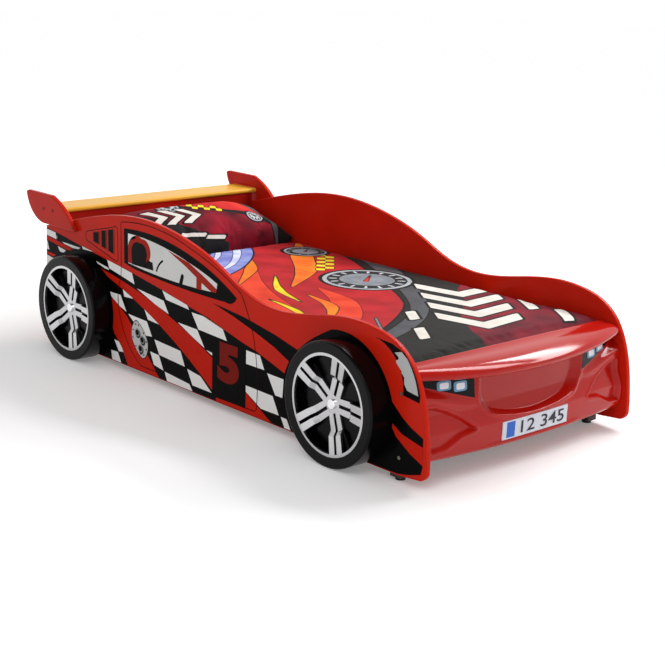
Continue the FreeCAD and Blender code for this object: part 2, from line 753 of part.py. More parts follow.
# === Every sub-part, one file each ================================================================
save("side_panel_left", side_panel_left)
save("side_panel_right", mirrored(side_panel_left))
save("headboard", headboard)
save("footboard", footboard)
save("front_moulding", moulding)
save("lamp_panel_left", lamp_panel_left)
save("lamp_panel_right", mirrored(lamp_panel_left))
save("lamp_lenses", group(lamp_lenses))
save("number_plate", plate)
save("tail_fin_left", tail_fin_left)
save("tail_fin_right", mirrored(tail_fin_left))
save("spoiler_shelf", shelf)
for end, x in wheel_x.items():
    for side in ("left", "right"):
        for name, piece in (("tyre", tyre), ("wheel_backing", backing), ("rim", rim), ("centre_cap", cap)):
            placed = piece.copy()
            placed.translate(V(x, outer_y, tyre_radius))
            if side == "right":
                placed = mirrored(placed)
            save(name + "_" + end + "_" + side, placed)
save("side_rail_left", side_rail_left)
save("side_rail_right", mirrored(side_rail_left))
save("centre_rail", centre_rail)
for number in range(slat_count):
    slat = slat_blank.copy()
    slat.translate(V(slat_first_x + number * slat_pitch, 0, 0))
    save("slat_%02d" % (number + 1), slat)
save("centre_leg_rear", centre_legs[0])
save("centre_leg_front", centre_legs[1])
save("corner_post_rear_left", corner_post_rear)
save("corner_post_rear_right", mirrored(corner_post_rear))
save("corner_post_front_left", corner_post_front)
save("corner_post_front_right", mirrored(corner_post_front))
save("floor_glides", group(glides))
save("panel_screws", group(panel_screws))
save("fin_screws", group(fin_screws))
save("rail_screws", group(rail_screws))
save("wheel_bolts", group(wheel_bolts))
save("moulding_screws", group(moulding_screws))
save("mattress", mattress)
save("duvet", duvet)
save("pillow", pillow)
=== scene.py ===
import math
import bpy
import bmesh
import numpy as np
from mathutils import Matrix, Vector


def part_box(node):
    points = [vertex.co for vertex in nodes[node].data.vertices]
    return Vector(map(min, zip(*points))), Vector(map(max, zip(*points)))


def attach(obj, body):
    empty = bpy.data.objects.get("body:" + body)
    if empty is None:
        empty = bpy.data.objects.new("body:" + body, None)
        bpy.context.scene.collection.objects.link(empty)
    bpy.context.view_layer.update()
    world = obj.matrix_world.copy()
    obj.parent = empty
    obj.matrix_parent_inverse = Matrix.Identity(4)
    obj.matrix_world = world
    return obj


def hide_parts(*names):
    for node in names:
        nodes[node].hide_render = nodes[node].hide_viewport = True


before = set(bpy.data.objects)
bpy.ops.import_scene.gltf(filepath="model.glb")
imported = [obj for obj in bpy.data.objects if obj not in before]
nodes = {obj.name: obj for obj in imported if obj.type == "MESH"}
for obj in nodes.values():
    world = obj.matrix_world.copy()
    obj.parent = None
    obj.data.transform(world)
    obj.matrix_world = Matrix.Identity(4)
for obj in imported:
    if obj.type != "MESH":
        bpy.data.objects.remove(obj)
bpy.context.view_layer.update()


# --- Side panels ----------------------------------------------------------------------------------
# Two shaped boards of 18 mm fibreboard with a red gloss lacquer and a printed livery on the
# outside. They are cut on a router, their edges are eased by 4 mm, and they are screwed to
# the end boards.

def linear(hexcode):
    """sRGB hex to linear RGBA: below 0.04045 divide by 12.92, else ((c + 0.055) / 1.055) ^ 2.4."""
    c = np.array([int(hexcode[i:i + 2], 16) / 255 for i in (0, 2, 4)])
    c = np.where(c <= 0.04045, c / 12.92, ((c + 0.055) / 1.055) ** 2.4)
    return (*c.tolist(), 1.0)


def add(tree, kind, inputs=None, **settings):
    """Adds a shader node, sets its options, and fills or links its inputs by name or number."""
    made = tree.nodes.new(kind)
    for name, value in settings.items():
        setattr(made, name, value)
    for name, value in (inputs or {}).items():
        if isinstance(value, bpy.types.NodeSocket):
            tree.links.new(value, made.inputs[name])
        else:
            made.inputs[name].default_value = value
    return made


def finish_of(name, **settings):
    """A new material with its Principled shader, whose plain settings are set on its own sockets."""
    made = bpy.data.materials.new(name)
    made.use_nodes = True
    shader = made.node_tree.nodes["Principled BSDF"]
    for socket, value in settings.items():
        shader.inputs[socket.replace("_", " ")].default_value = value
    return made, made.node_tree, shader


def lacquer(name, colour, roughness=0.3, gloss=0.15, variation=0.05):
    """Sprayed and baked lacquer: an even colour, faint cloudiness over 150 mm, and a soft orange
    peel with cells of about 3 mm. The gloss is the specular level: low on satin, high on wet paint."""
    made, tree, shader = finish_of(name, IOR=1.5, Specular_IOR_Level=gloss)
    place = add(tree, "ShaderNodeTexCoord").outputs["Object"]
    cloud = add(tree, "ShaderNodeTexNoise", {"Vector": place, "Scale": 7.0, "Detail": 3.0})
    tone = add(tree, "ShaderNodeMapRange", {0: cloud.outputs["Fac"], 1: 0.3, 2: 0.7,
                                            3: 1 - variation, 4: 1 + variation})
    shade = add(tree, "ShaderNodeHueSaturation", {"Value": tone.outputs[0], "Color": linear(colour)})
    peel = add(tree, "ShaderNodeTexNoise", {"Vector": place, "Scale": 330.0, "Detail": 1.0})
    rough = add(tree, "ShaderNodeMapRange", {0: cloud.outputs["Fac"], 1: 0.2, 2: 0.8,
                                             3: roughness - 0.04, 4: roughness + 0.04})
    bump = add(tree, "ShaderNodeBump", {"Height": peel.outputs["Fac"], "Strength": 0.06, "Distance": 0.0004})
    tree.links.new(shade.outputs[0], shader.inputs["Base Color"])
    tree.links.new(rough.outputs[0], shader.inputs["Roughness"])
    tree.links.new(bump.outputs[0], shader.inputs["Normal"])
    return made


def dress(material, *names):
    """Gives a material to the slots of CAD nodes."""
    for name in names:
        for place in nodes[name].material_slots:
            place.material = material


def mesh_piece(name, points, faces, material, smooth=True):
    """A mesh object from an array of points in metres and a list or array of faces."""
    data = bpy.data.meshes.new(name)
    data.from_pydata(np.asarray(points).tolist(), [], [list(map(int, face)) for face in faces])
    data.validate()
    data.polygons.foreach_set("use_smooth", [smooth] * len(data.polygons))
    data.materials.append(material)
    piece = bpy.data.objects.new(name, data)
    bpy.context.scene.collection.objects.link(piece)
    return piece


red_lacquer = lacquer("red_lacquer_on_fibreboard", "CA2210", 0.24, 0.06)
dress(red_lacquer, "side_panel_left", "side_panel_right")


def bow(a, b, c, count=14):
    """Points along the circle through three points, without the last: the centre is where the
    perpendicular bisectors meet, and the angle runs evenly from the first to the last point."""
    (ax, ay), (bx, by), (cx, cy) = a, b, c
    d = 2 * (ax * (by - cy) + bx * (cy - ay) + cx * (ay - by))
    ux = ((ax**2 + ay**2) * (by - cy) + (bx**2 + by**2) * (cy - ay) + (cx**2 + cy**2) * (ay - by)) / d
    uy = ((ax**2 + ay**2) * (cx - bx) + (bx**2 + by**2) * (ax - cx) + (cx**2 + cy**2) * (bx - ax)) / d
    start = math.atan2(ay - uy, ax - ux)
    turn = math.tau
    through = (math.atan2(by - uy, bx - ux) - start) % turn
    sweep = (math.atan2(cy - uy, cx - ux) - start) % turn
    sweep = sweep if through <= sweep else sweep - turn
    angle = start + sweep * np.linspace(0, 1, count, endpoint=False)
    radius = math.hypot(ax - ux, ay - uy)
    return list(zip((ux + radius * np.cos(angle)).tolist(), (uy + radius * np.sin(angle)).tolist()))


def disc(x, z, radius, count=40):
    """A circle's outline."""
    angle = np.linspace(0, math.tau, count, endpoint=False)
    return list(zip((x + radius * np.cos(angle)).tolist(), (z + radius * np.sin(angle)).tolist()))


def ribbon(points, width):
    """A line of even width: the points moved to each side along the averaged normals."""
    p = np.array(points, float)
    t = np.gradient(p, axis=0)
    t /= np.linalg.norm(t, axis=1)[:, None]
    n = np.stack([-t[:, 1], t[:, 0]], 1) * width / 2
    return [tuple(q) for q in np.concatenate([p + n, (p - n)[::-1]]).tolist()]


panel_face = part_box("side_panel_left")[1][1]
film = 0.00012    # thickness of one printed layer, in metres
inks = {}


def ink(colour):
    """Screen-printed ink under the same clear coat, a little cloudy."""
    if colour not in inks:
        inks[colour] = lacquer("printed_ink_" + colour, colour, 0.28, 0.03, 0.03)
    return inks[colour]


def printed(name, colour, layer, outlines):
    """Prints outlines in X and Z millimetres on both sides, each layer a film above the last.
    Every outline is one face, turned so that it points away from the panel."""
    for side, word in ((-1, "right"), (1, "left")):
        points, faces = [], []
        for outline in outlines:
            ring = np.array(outline, float) / 1000
            area = np.sum(ring[:, 0] * np.roll(ring[:, 1], -1) - np.roll(ring[:, 0], -1) * ring[:, 1])
            order = range(len(ring)) if (area > 0) == (side < 0) else range(len(ring) - 1, -1, -1)
            faces.append([len(points) + k for k in order])
            points += [(x, side * (panel_face + layer * film), z) for x, z in ring]
        piece = mesh_piece("print_" + name + "_" + word, points, faces, ink(colour), False)
        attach(piece, "bed")


# The black ground of the chequered band runs from the boot to the front foot.
arch_front, arch_rear = (735, 200), (-758, 203)
ground = [(-1011, 466), (-900, 453), (-810, 440), (-700, 425), (-600, 413), (-500, 401), (-420, 391),
          (-300, 374), (-200, 359), (-70, 335), (30, 320), (125, 297), (230, 273), (310, 258),
          (451, 218), (472, 263), (400, 293), (300, 322), (180, 352), (65, 375), (130, 371),
          (250, 360), (400, 336), (514, 311), (550, 341), (586, 366), (625, 388)]
ground += bow((670, 412), (754, 416), (948, 250), 24)
ground += [(948, 250), (994, 212), (1030, 191), (1082, 170), (1084, 80), (1078, 58), (1030, 43),
           (985, 34), (940, 32), (-1020, 32), (-1027, 40), (-1026, 62), (-1017, 325)]
printed("ground", "060506", 1, [ground])

# Chequers: white cells set in leaning rows, cut off by the swooshes.
cells = [
    [(-1011, 461), (-946, 456), (-940, 430), (-1012, 437)],
    [(-1013, 416), (-1008, 412), (-995, 379), (-1014, 380)],
    [(-932, 404), (-872, 397), (-888, 386), (-915, 385)],
    [(-900, 427), (-840, 426), (-765, 425), (-782, 417), (-820, 415), (-880, 421)],
    [(-755, 434), (-680, 425), (-750, 423)],
    [(-1015, 357), (-968, 350), (-990, 310), (-1019, 312)],
    [(-1020, 250), (-985, 247), (-975, 200), (-1022, 200)],
    [(-1024, 150), (-990, 150), (-975, 100), (-1026, 100)],
    [(-582, 411), (-492, 400), (-418, 390), (-402, 351), (-460, 362), (-567, 381)],
    [(-658, 393), (-575, 382), (-569, 374), (-600, 376), (-652, 387)],
    [(-480, 320), (-420, 311), (-388, 297), (-470, 292)],
    [(-569, 293), (-495, 294), (-456, 237), (-500, 250), (-558, 277)],
    [(-446, 232), (-325, 228), (-293, 178), (-345, 172), (-400, 202)],
    [(-540, 114), (-505, 112), (-478, 78), (-510, 74)],
    [(-562, 68), (-517, 70), (-495, 33), (-555, 33)],
    [(-228, 362), (-80, 338), (-67, 324), (-205, 333)],
    [(-388, 339), (-220, 326), (-189, 283), (-270, 302), (-360, 330)],
    [(-53, 318), (15, 318), (125, 295), (148, 259), (-13, 265)],
    [(-134, 265), (-20, 263), (23, 206), (-40, 228)],
    [(32, 202), (66, 199), (66, 189)],
    [(-345, 278), (-237, 232), (-318, 236)],
    [(-278, 171), (-118, 164), (-92, 112), (-248, 120)],
    [(-305, 120), (-250, 118), (-222, 67), (-282, 75)],
    [(-215, 65), (-65, 55), (-47, 33), (-200, 33)],
    [(-78, 108), (0, 99), (65, 55), (-47, 55)],
    [(253, 251), (325, 249), (349, 205), (253, 204)],
    [(253, 129), (394, 127), (427, 69), (334, 68), (253, 107)],
    [(364, 198), (448, 197), (443, 133), (407, 133)],
    [(437, 67), (467, 67), (488, 34), (457, 34)],
]
printed("cells", "F3F2F0", 2, cells)

# Red swooshes through the chequers, each with a dull edge below.
upper_edge = bow((-625, 371), (-250, 296), (63, 183), 16)
lower_edge = bow((65, 67), (-190, 206), (-615, 356), 18)
swooshes = [
    upper_edge + [(63, 183), (66, 182), (66, 67)] + lower_edge,
    [(-1011, 432), (-930, 424), (-830, 411), (-850, 401), (-930, 408), (-1012, 420)],
    [(-1014, 371), (-975, 369), (-945, 367), (-970, 356), (-1015, 362)],
    [(-557, 274), (-500, 249), (-455, 222)] + bow((-455, 222), (-370, 145), (-249, 33), 10)
    + [(-249, 33), (-450, 33), (-490, 94), (-540, 140), (-551, 160)],
    [(253, 104), (391, 33), (92, 33), (86, 41), (98, 47), (253, 47)],
    [(953, 184), (994, 161), (1082, 143), (1084, 87), (1030, 110), (970, 147), (952, 170)],
]
printed("swooshes", "C6200F", 3, swooshes)
printed("swoosh_shade", "7E1A12", 2, [
    [(60, 184), (72, 181), (72, 64), (60, 70)],
    [(-1011, 435), (-820, 413), (-835, 398), (-1013, 416)],
])

# Arches: a dark disc behind each wheel tub.
panel_foot = 32
printed("arches", "060506", 4, [[(x, max(z, panel_foot)) for x, z in disc(*arch, 214, 72)]
                                for arch in (arch_front, arch_rear)])

# Door outline: a thin dark line round the door, down to the sill.
door = [(-487, 400), (-487, 560)] + bow((-483, 569), (-300, 580), (-60, 541), 16)
door += bow((-60, 541), (90, 496), (222, 438), 10) + bow((222, 438), (262, 372), (290, 307), 8)
door += bow((290, 307), (309, 215), (314, 100), 8) + [(314, 100), (311, 60), (302, 50), (100, 47)]
rear_shut = [(-487, 400), (-489, 372), (-500, 340), (-511, 300), (-511, 262)]
rear_shut += bow((-511, 262), (-470, 150), (-385, 62), 12) + [(-385, 62), (-365, 51), (-262, 51)]
printed("door_line", "2A0604", 5, [ribbon(door, 3.2), ribbon(rear_shut, 3.2)])

# Louvres: a rounded triangle with three upright slots.
louvre = bow((-700, 459), (-727, 480), (-700, 500), 10) + bow((-538, 541), (-515, 543), (-509, 528), 6)
louvre += bow((-508, 432), (-513, 419), (-530, 418), 6)
louvre += [louvre[0]]
slots = [[(-672, 467), (-637, 461), (-637, 507), (-672, 500)],
         [(-617, 457), (-589, 451), (-589, 520), (-617, 515)],
         [(-571, 448), (-539, 441), (-539, 531), (-571, 526)]]
printed("louvre_line", "2A0604", 5, [ribbon(louvre, 3)])
frame_grow = np.array([(-4, -2), (8, -3), (8, 3), (-4, 2)])
printed("louvre_frames", "8E2A20", 5, [(np.array(slot) + frame_grow).tolist() for slot in slots])
printed("louvre_slots", "060506", 6, slots)

# Side window: a thick black frame, pale glass, a red pillar, a door mirror and a plain bucket seat.
frame_line = [(-467, 420), (-467, 548)] + bow((-467, 548), (-250, 549), (-40, 512), 14)
frame_line += bow((-40, 512), (90, 470), (200, 417), 10) + bow((200, 417), (182, 398), (140, 392), 6)
frame_line += bow((140, 392), (-160, 394), (-467, 414), 10)
glass = [(-441, 424), (-441, 534)] + bow((-441, 534), (-260, 525), (-70, 491), 12)
glass += bow((-70, 491), (10, 472), (93, 446), 8) + [(93, 446), (87, 414)]
glass += bow((87, 414), (-160, 408), (-441, 424), 10)
printed("window_frame", "060506", 5, [frame_line])
printed("window_glass", "DEDEDC", 6, [glass])
printed("window_pillar", "A42A20", 7, [
    [(-195, 513), (-70, 491), (20, 457), (90, 427), (87, 414), (60, 412), (5, 433), (5, 408), (-25, 407),
     (-25, 447), (-90, 475), (-160, 500)]])
printed("window_light", "F4F4F2", 7, [[(-440, 505), (-440, 533), (-402, 532), (-390, 524)]])
seat_back = [(-441, 426), (-441, 488)] + bow((-441, 488), (-420, 520), (-352, 527), 8)
seat_back += bow((-352, 527), (-308, 510), (-300, 470), 8) + [(-300, 470), (-318, 424)]
printed("seat_shell", "A8271B", 7, [seat_back])
seat_pad = bow((-420, 470), (-404, 503), (-366, 509), 6) + bow((-366, 509), (-330, 498), (-322, 468), 6)
seat_pad += [(-322, 468), (-332, 424), (-416, 424)]
steering = ribbon(bow((-262, 424), (-246, 452), (-222, 470), 10) + [(-222, 470)], 8)
printed("seat_pad", "121011", 8, [seat_pad, [(-342, 424), (-318, 456), (-286, 452), (-281, 424)]])
mirror = [(-126, 407), (-106, 407), (-98, 432)] + bow((-98, 432), (-104, 444), (-114, 438), 5) + [(-114, 438)]
printed("mirror", "060506", 8, [mirror, steering])

# Race number: a plain digit in dark red on a black square.
printed("number_square", "060506", 5, [[(69, 50), (250, 50), (250, 250), (69, 250)]])

# Exhaust plate: a pale rounded rhombus with three pipe mouths and a ring of bolt holes.
plate_x, plate_z = -371, 150
around = np.linspace(0, math.tau, 60, endpoint=False)
reach_x = 50 * np.sign(np.cos(around)) * np.abs(np.cos(around)) ** 1.25
reach_z = 66 * np.sign(np.sin(around)) * np.abs(np.sin(around)) ** 1.25
lean = np.stack([plate_x + reach_x - 0.30 * reach_z, plate_z + reach_z], 1)
printed("exhaust_plate_rim", "151516", 5, [(lean + (lean - (plate_x, plate_z)) * 0.05).tolist()])
printed("exhaust_plate", "C9C9C8", 6, [lean.tolist()])
mouths = [(plate_x - 15, plate_z + 24), (plate_x + 16, plate_z + 2), (plate_x + 4, plate_z - 33)]
bolt_line = (lean - (plate_x, plate_z)) * 0.86 + (plate_x, plate_z)
bolts = [disc(x, z, 3.6, 12) for x, z in bolt_line[::6].tolist()]
printed("pipe_shadow", "3A3A3C", 7, [disc(x + 4, z - 4, 17, 28) for x, z in mouths])
printed("pipe_rims", "8C8D90", 8, [disc(x, z, 15, 28) for x, z in mouths])
printed("pipe_mouths", "060506", 9, [disc(x, z, 10.5, 24) for x, z in mouths] + bolts)

# Headlamp print: a pale lens with a notched inner edge in a black surround.
surround = [(865, 431), (940, 426), (990, 409)] + bow((990, 409), (1033, 362), (1062, 294), 8)
surround += [(1062, 294), (1060, 273), (994, 281), (991, 314)] + bow((991, 314), (960, 380), (865, 431), 8)
lens_print = [(950, 402), (979, 410), (1004, 393)] + bow((1004, 393), (1034, 349), (1054, 293), 8)
lens_print += [(1054, 293), (1008, 299), (995, 316), (994, 336), (982, 347), (982, 352), (973, 360),
               (959, 372), (957, 379), (968, 386), (966, 392)]
printed("headlamp_surround", "060506", 5, [surround])
printed("headlamp_lens", "B9BABA", 6, [lens_print])

# The digit is built from the plain block figure that Blender carries, and sits on both sides.
def set_figures(name, body, size, offset, place, material, align="LEFT"):
    """Figures as a flat mesh: place turns their flat points into points on the bed."""
    figure = bpy.data.curves.new(name, "FONT")
    figure.body, figure.size, figure.offset, figure.align_x = body, size, offset, align
    text = bpy.data.objects.new(name, figure)
    bpy.context.scene.collection.objects.link(text)
    data = bpy.data.meshes.new_from_object(text)
    bpy.data.objects.remove(text)
    flat = np.empty(len(data.vertices) * 3)
    data.vertices.foreach_get("co", flat)
    data.vertices.foreach_set("co", place(flat.reshape(-1, 3)).ravel())
    data.materials.clear()
    data.materials.append(material)
    made = bpy.data.objects.new(name, data)
    bpy.context.scene.collection.objects.link(made)
    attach(made, "bed")


digit_x, digit_z, digit_width, digit_height = 0.1575, 0.122, 1.25, 0.93
for side, word in ((-1, "right"), (1, "left")):
    set_figures("race_number_" + word, "5", 0.185, 0.0115,
                lambda flat: np.stack([digit_x - side * flat[:, 0] * digit_width,
                                       np.full(len(flat), side * (panel_face + 6 * film)),
                                       digit_z + flat[:, 1] * digit_height], 1),
                ink("7E1B13"), "CENTER")


# --- Headboard and footboard ----------------------------------------------------------------------
# Plain 18 mm fibreboard between the side panels, lacquered in the same red, which is set darker
# here as painted shade. Only the top of the headboard shows, in the shade of the shelf.
# Darker red than the side panels: painted shade for the shadow under the shelf.
dress(lacquer("red_lacquer_end_boards_painted_shade", "A81A10", 0.4, 0.08), "headboard", "footboard")


# --- Front moulding -------------------------------------------------------------------------------
# One vacuum-formed skin of glossy red plastic: a bonnet lip with a full nose, and below it
# a bumper with a wide sunk panel, two cheek pockets and slanted seats for the lamps.
moulding_low, moulding_high = (np.array(corner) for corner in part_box("front_moulding"))
bonnet_half = moulding_high[1]
bonnet_back = moulding_low[0]
nose_reach = moulding_high[0]
face_low = moulding_low[2]


def step(share):
    """A smooth cubic from 0 to 1: 3 t^2 - 2 t^3."""
    return share * share * (3 - 2 * share)


def ease(value, low, high):
    """0 below low, 1 above high, and a smooth cubic between."""
    return step(np.clip((value - low) / (high - low), 0, 1))


def nose_x(y):
    """Furthest point of the bonnet lip: drawn back by the square of the distance from the middle."""
    return nose_reach - 0.086 * (np.abs(y) / bonnet_half) ** 2.2


def crease_z(y):
    """Height of the crease under the nose, which climbs with the square of the distance from the middle."""
    return 0.312 + 0.017 * (np.abs(y) / bonnet_half) ** 2


def crease_x(y):
    """How far forward the crease lies: behind the nose, and nearer to it at both ends."""
    return nose_x(y) - 0.026 + 0.016 * ease(np.abs(y), 0.20, 0.47)


def lamp_foot(y):
    """Height of the lamps' lower edge, which climbs away from the middle."""
    return 0.245 + 0.060 * np.clip((np.abs(y) - 0.254) / 0.196, 0, 1.2)


def rounded_box(y, z, centre, half, radius):
    """Signed distance to a rounded rectangle, negative inside."""
    qy = np.abs(y - centre[0]) - half[0] + radius
    qz = np.abs(z - centre[1]) - half[1] + radius
    return np.hypot(np.maximum(qy, 0), np.maximum(qz, 0)) + np.minimum(np.maximum(qy, qz), 0) - radius


def from_outline(flat, outline):
    """Distance of each point to a closed outline, below zero inside: the least distance to its
    sides, with its sign from how many sides a line towards -u crosses."""
    ring = np.array(outline, float)
    ends = np.roll(ring, -1, 0)
    least = np.full(len(flat), np.inf)
    inside = np.zeros(len(flat), bool)
    for p, q in zip(ring, ends):
        side = q - p
        along = np.clip(((flat - p) @ side) / max(side @ side, 1e-9), 0, 1)
        least = np.minimum(least, np.hypot(*(flat - p - along[:, None] * side).T))
        spans = (p[1] > flat[:, 1]) != (q[1] > flat[:, 1])
        cross = p[0] + (flat[:, 1] - p[1]) / np.where(q[1] == p[1], 1, q[1] - p[1]) * (q[0] - p[0])
        inside ^= spans & (flat[:, 0] < cross)
    return np.where(inside, -least, least)


def face_x(y, z):
    """The bumper's face: bowed in plan and a little full in height, less the sunk panel, the
    pockets and the lamp seats, each eased in over its own wall, and rolled in at the foot. The
    panel's wall runs from its rim to its floor: the share of the way is the distance to the rim
    over the sum of both distances."""
    a = np.abs(y)
    face = nose_reach - 0.034 - 0.019 * (a / bonnet_half) ** 2 - 0.003 * ((z - 0.19) / 0.11) ** 2
    face = face - 0.022 * ease(z, 0.150, 0.225)
    rim_edge = rounded_box(y, z - 0.60 * y**2, (0.0, 0.300), (0.246, 0.133), 0.060)
    floor_edge = rounded_box(y, z - 0.85 * y**2, (0.0, 0.300), (0.213, 0.127), 0.055)
    way = -rim_edge / np.maximum(np.maximum(floor_edge, 0) - rim_edge, 1e-6)
    way = np.where(rim_edge > 0, 0, np.where(floor_edge < 0, 1, way))
    face = face - 0.023 * (0.75 * way + 0.25 * step(np.clip(way, 0, 1)))
    face = face + 0.0032 * np.exp(-((rim_edge - 0.002) / 0.007) ** 2) * ease(z, 0.145, 0.16)
    ring = np.column_stack([a.ravel(), z.ravel()])
    pocket = from_outline(ring, pocket_floor).reshape(a.shape) - 0.008
    face = face - 0.0150 * ease(-pocket, 0.0, 0.014) + 0.0022 * np.exp(-((pocket - 0.002) / 0.006) ** 2)
    foot = lamp_foot(y)
    seat_x = crease_x(y) - 0.026 + 0.10 * (crease_z(y) - z)
    seat = seat_x + (face - seat_x) * ease(foot + 0.002 - z, 0.0, 0.034)
    inside = ease(a, 0.247, 0.257)
    face = face * (1 - inside) + np.minimum(face, seat) * inside
    foot_line = skin_foot(y)
    roll = np.clip((foot_line + 0.018 - z) / 0.018, 0, 1)
    lip = 0.005 * np.exp(-((z - foot_line - 0.013) / 0.009) ** 2) * ease(0.27 - a, 0.0, 0.08)
    return face - 0.018 * (1 - np.sqrt(1 - 0.96 * roll**2)) + lip


def skin_foot(y):
    """Height of the skin's lower edge, which climbs a little towards both ends."""
    return face_low + 0.010 * (np.abs(y) / bonnet_half) ** 2


pocket_floor = [(0.447, 0.242), (0.426, 0.241), (0.376, 0.222), (0.322, 0.194), (0.273, 0.159),
                (0.330, 0.151), (0.395, 0.122), (0.446, 0.118)]


def moulding_grid(columns=300, drop=150):
    """Rows of the skin: a small round at the back, the bonnet's nearly flat top, one broad quarter
    ellipse down to the nose, a tight one under it to the crease, then the face down to the foot."""
    y = np.linspace(-1, 1, columns)
    y = bonnet_half * np.sign(y) * np.abs(y) ** 0.96
    rows = []
    top_z, shoulder_z, edge = 0.367, 0.362, 0.0025
    for t in np.linspace(0, math.pi / 2, 6):
        rows.append((bonnet_back + edge - edge * math.cos(t) + 0 * y,
                     top_z - edge + edge * math.sin(t) + 0 * y))
    length = 0.65 * (nose_x(y) - bonnet_back)
    nose_z = 0.332 + 0.004 * (np.abs(y) / bonnet_half) ** 2
    for t in np.linspace(0, 1, 12)[1:-1]:
        start, end = bonnet_back + edge, nose_x(y) - length
        rows.append((start + t * (end - start), shoulder_z + (top_z - shoulder_z) * (1 - t) ** 2 + 0 * y))
    for t in np.linspace(0, math.pi / 2, 30):
        rows.append((nose_x(y) - length * (1 - math.sin(t)), nose_z + (shoulder_z - nose_z) * math.cos(t)))
    for t in np.linspace(0, math.pi * 0.44, 14)[1:]:
        rows.append((nose_x(y) - 0.028 * (1 - math.cos(t)), nose_z - (nose_z - crease_z(y)) * math.sin(t)))
    x0, z0 = rows[-1]
    low_z = crease_z(y) - 0.004
    for t in np.linspace(0, 1, 6)[1:]:
        rows.append((x0 + t * (np.minimum(face_x(y, low_z), x0) - x0), z0 + t * (low_z - z0)))
    for t in np.linspace(0, 1, drop)[1:]:
        z = low_z - t * (low_z - skin_foot(y))
        rows.append((face_x(y, z), z))
    rows.append((0 * y + bonnet_back + 0.0185, skin_foot(y)))
    rows.append((0 * y + bonnet_back + 0.0185, 0.3595 + 0 * y))
    rows.append((0 * y + bonnet_back, 0.3595 + 0 * y))
    x = np.array([row[0] for row in rows])
    z = np.array([row[1] for row in rows])
    return np.stack([x, np.broadcast_to(y, x.shape), z], -1)


def closed_skin(grid):
    """Quads over a grid whose rows close on themselves, with a fan-free face over each end."""
    rows, columns = grid.shape[:2]
    index = np.arange(rows * columns).reshape(rows, columns)
    ahead = np.roll(index, -1, 0)
    quads = np.stack([index[:, :-1], ahead[:, :-1], ahead[:, 1:], index[:, 1:]], -1).reshape(-1, 4)
    return quads.tolist() + [index[::-1, 0].tolist(), index[:, -1].tolist()]


def outward(piece):
    """Merges doubles and turns every face outwards."""
    work = bmesh.new()
    work.from_mesh(piece.data)
    bmesh.ops.remove_doubles(work, verts=work.verts, dist=1e-6)
    bmesh.ops.recalc_face_normals(work, faces=work.faces)
    work.to_mesh(piece.data)
    work.free()


def crisp(piece, degrees=42):
    """Shades smooth, but keeps edges sharper than an angle."""
    piece.data.polygons.foreach_set("use_smooth", [True] * len(piece.data.polygons))
    piece.data.set_sharp_from_angle(angle=math.radians(degrees))


skin_red = lacquer("glossy_red_formed_plastic", "B5170F", 0.11, 0.25, 0.03)
grid = moulding_grid()
moulding = mesh_piece("front_moulding_skin", grid.reshape(-1, 3), closed_skin(grid), skin_red)
outward(moulding)
crisp(moulding, 60)
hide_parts("front_moulding")
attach(moulding, "bed")


# --- Lamps and number plate -----------------------------------------------------------------------
# Black gloss films on the slanted seats, each with two round-cornered lamps: a white
# middle in a pale blue ring. The plate is a thin white board with a plain blue band and figures.
def face_patch(name, corner_rows, lift, material, count=(28, 16), inset=None, nodes_replaced=()):
    """A patch that follows the moulding: a grid between a lower and an upper line in Y and Z,
    or, given a rounded shape, only its cells, pushed out by the lift and closed at the back."""
    (y0, z00, z01), (y1, z10, z11) = corner_rows
    u, v = np.meshgrid(np.linspace(0, 1, count[0]), np.linspace(0, 1, count[1]), indexing="ij")
    y = y0 + (y1 - y0) * u
    low = z00 + (z10 - z00) * u
    high = z01 + (z11 - z01) * u
    z = low + (high - low) * v
    if inset:
        y, z = squircle(u, v, (y0 + y1) / 2, (z00 + z01) / 2, abs(y1 - y0) / 2, (z01 - z00) / 2, inset)
    front = np.stack([face_x(y, z) + lift, y, z], -1)
    back = front - np.array([lift + 0.0015, 0, 0])
    rows, columns = front.shape[:2]
    index = np.arange(rows * columns).reshape(rows, columns)
    quads = np.stack([index[:-1, :-1], index[1:, :-1], index[1:, 1:], index[:-1, 1:]], -1).reshape(-1, 4)
    edge = np.concatenate([index[:, 0], index[-1, 1:], index[-2::-1, -1], index[0, -2:0:-1]])
    total = rows * columns
    faces = quads.tolist() + (quads[:, ::-1] + total).tolist()
    faces += [[a, b, b + total, a + total] for a, b in zip(edge, np.roll(edge, -1))]
    piece = mesh_piece(name, np.concatenate([front.reshape(-1, 3), back.reshape(-1, 3)]), faces, material)
    outward(piece)
    crisp(piece)
    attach(piece, "bed")
    if nodes_replaced:
        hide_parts(*nodes_replaced)
    return piece


def squircle(u, v, cy, cz, hy, hz, power):
    """Maps the unit square to a rounded box: the square's rim is drawn in on a superellipse."""
    a, b = 2 * u - 1, 2 * v - 1
    reach = np.maximum(np.abs(a), np.abs(b))
    length = (np.abs(a) ** power + np.abs(b) ** power) ** (1 / power)
    scale = np.where(length > 0, reach / np.maximum(length, 1e-9), 0)
    return cy + hy * a * scale, cz + hz * b * scale


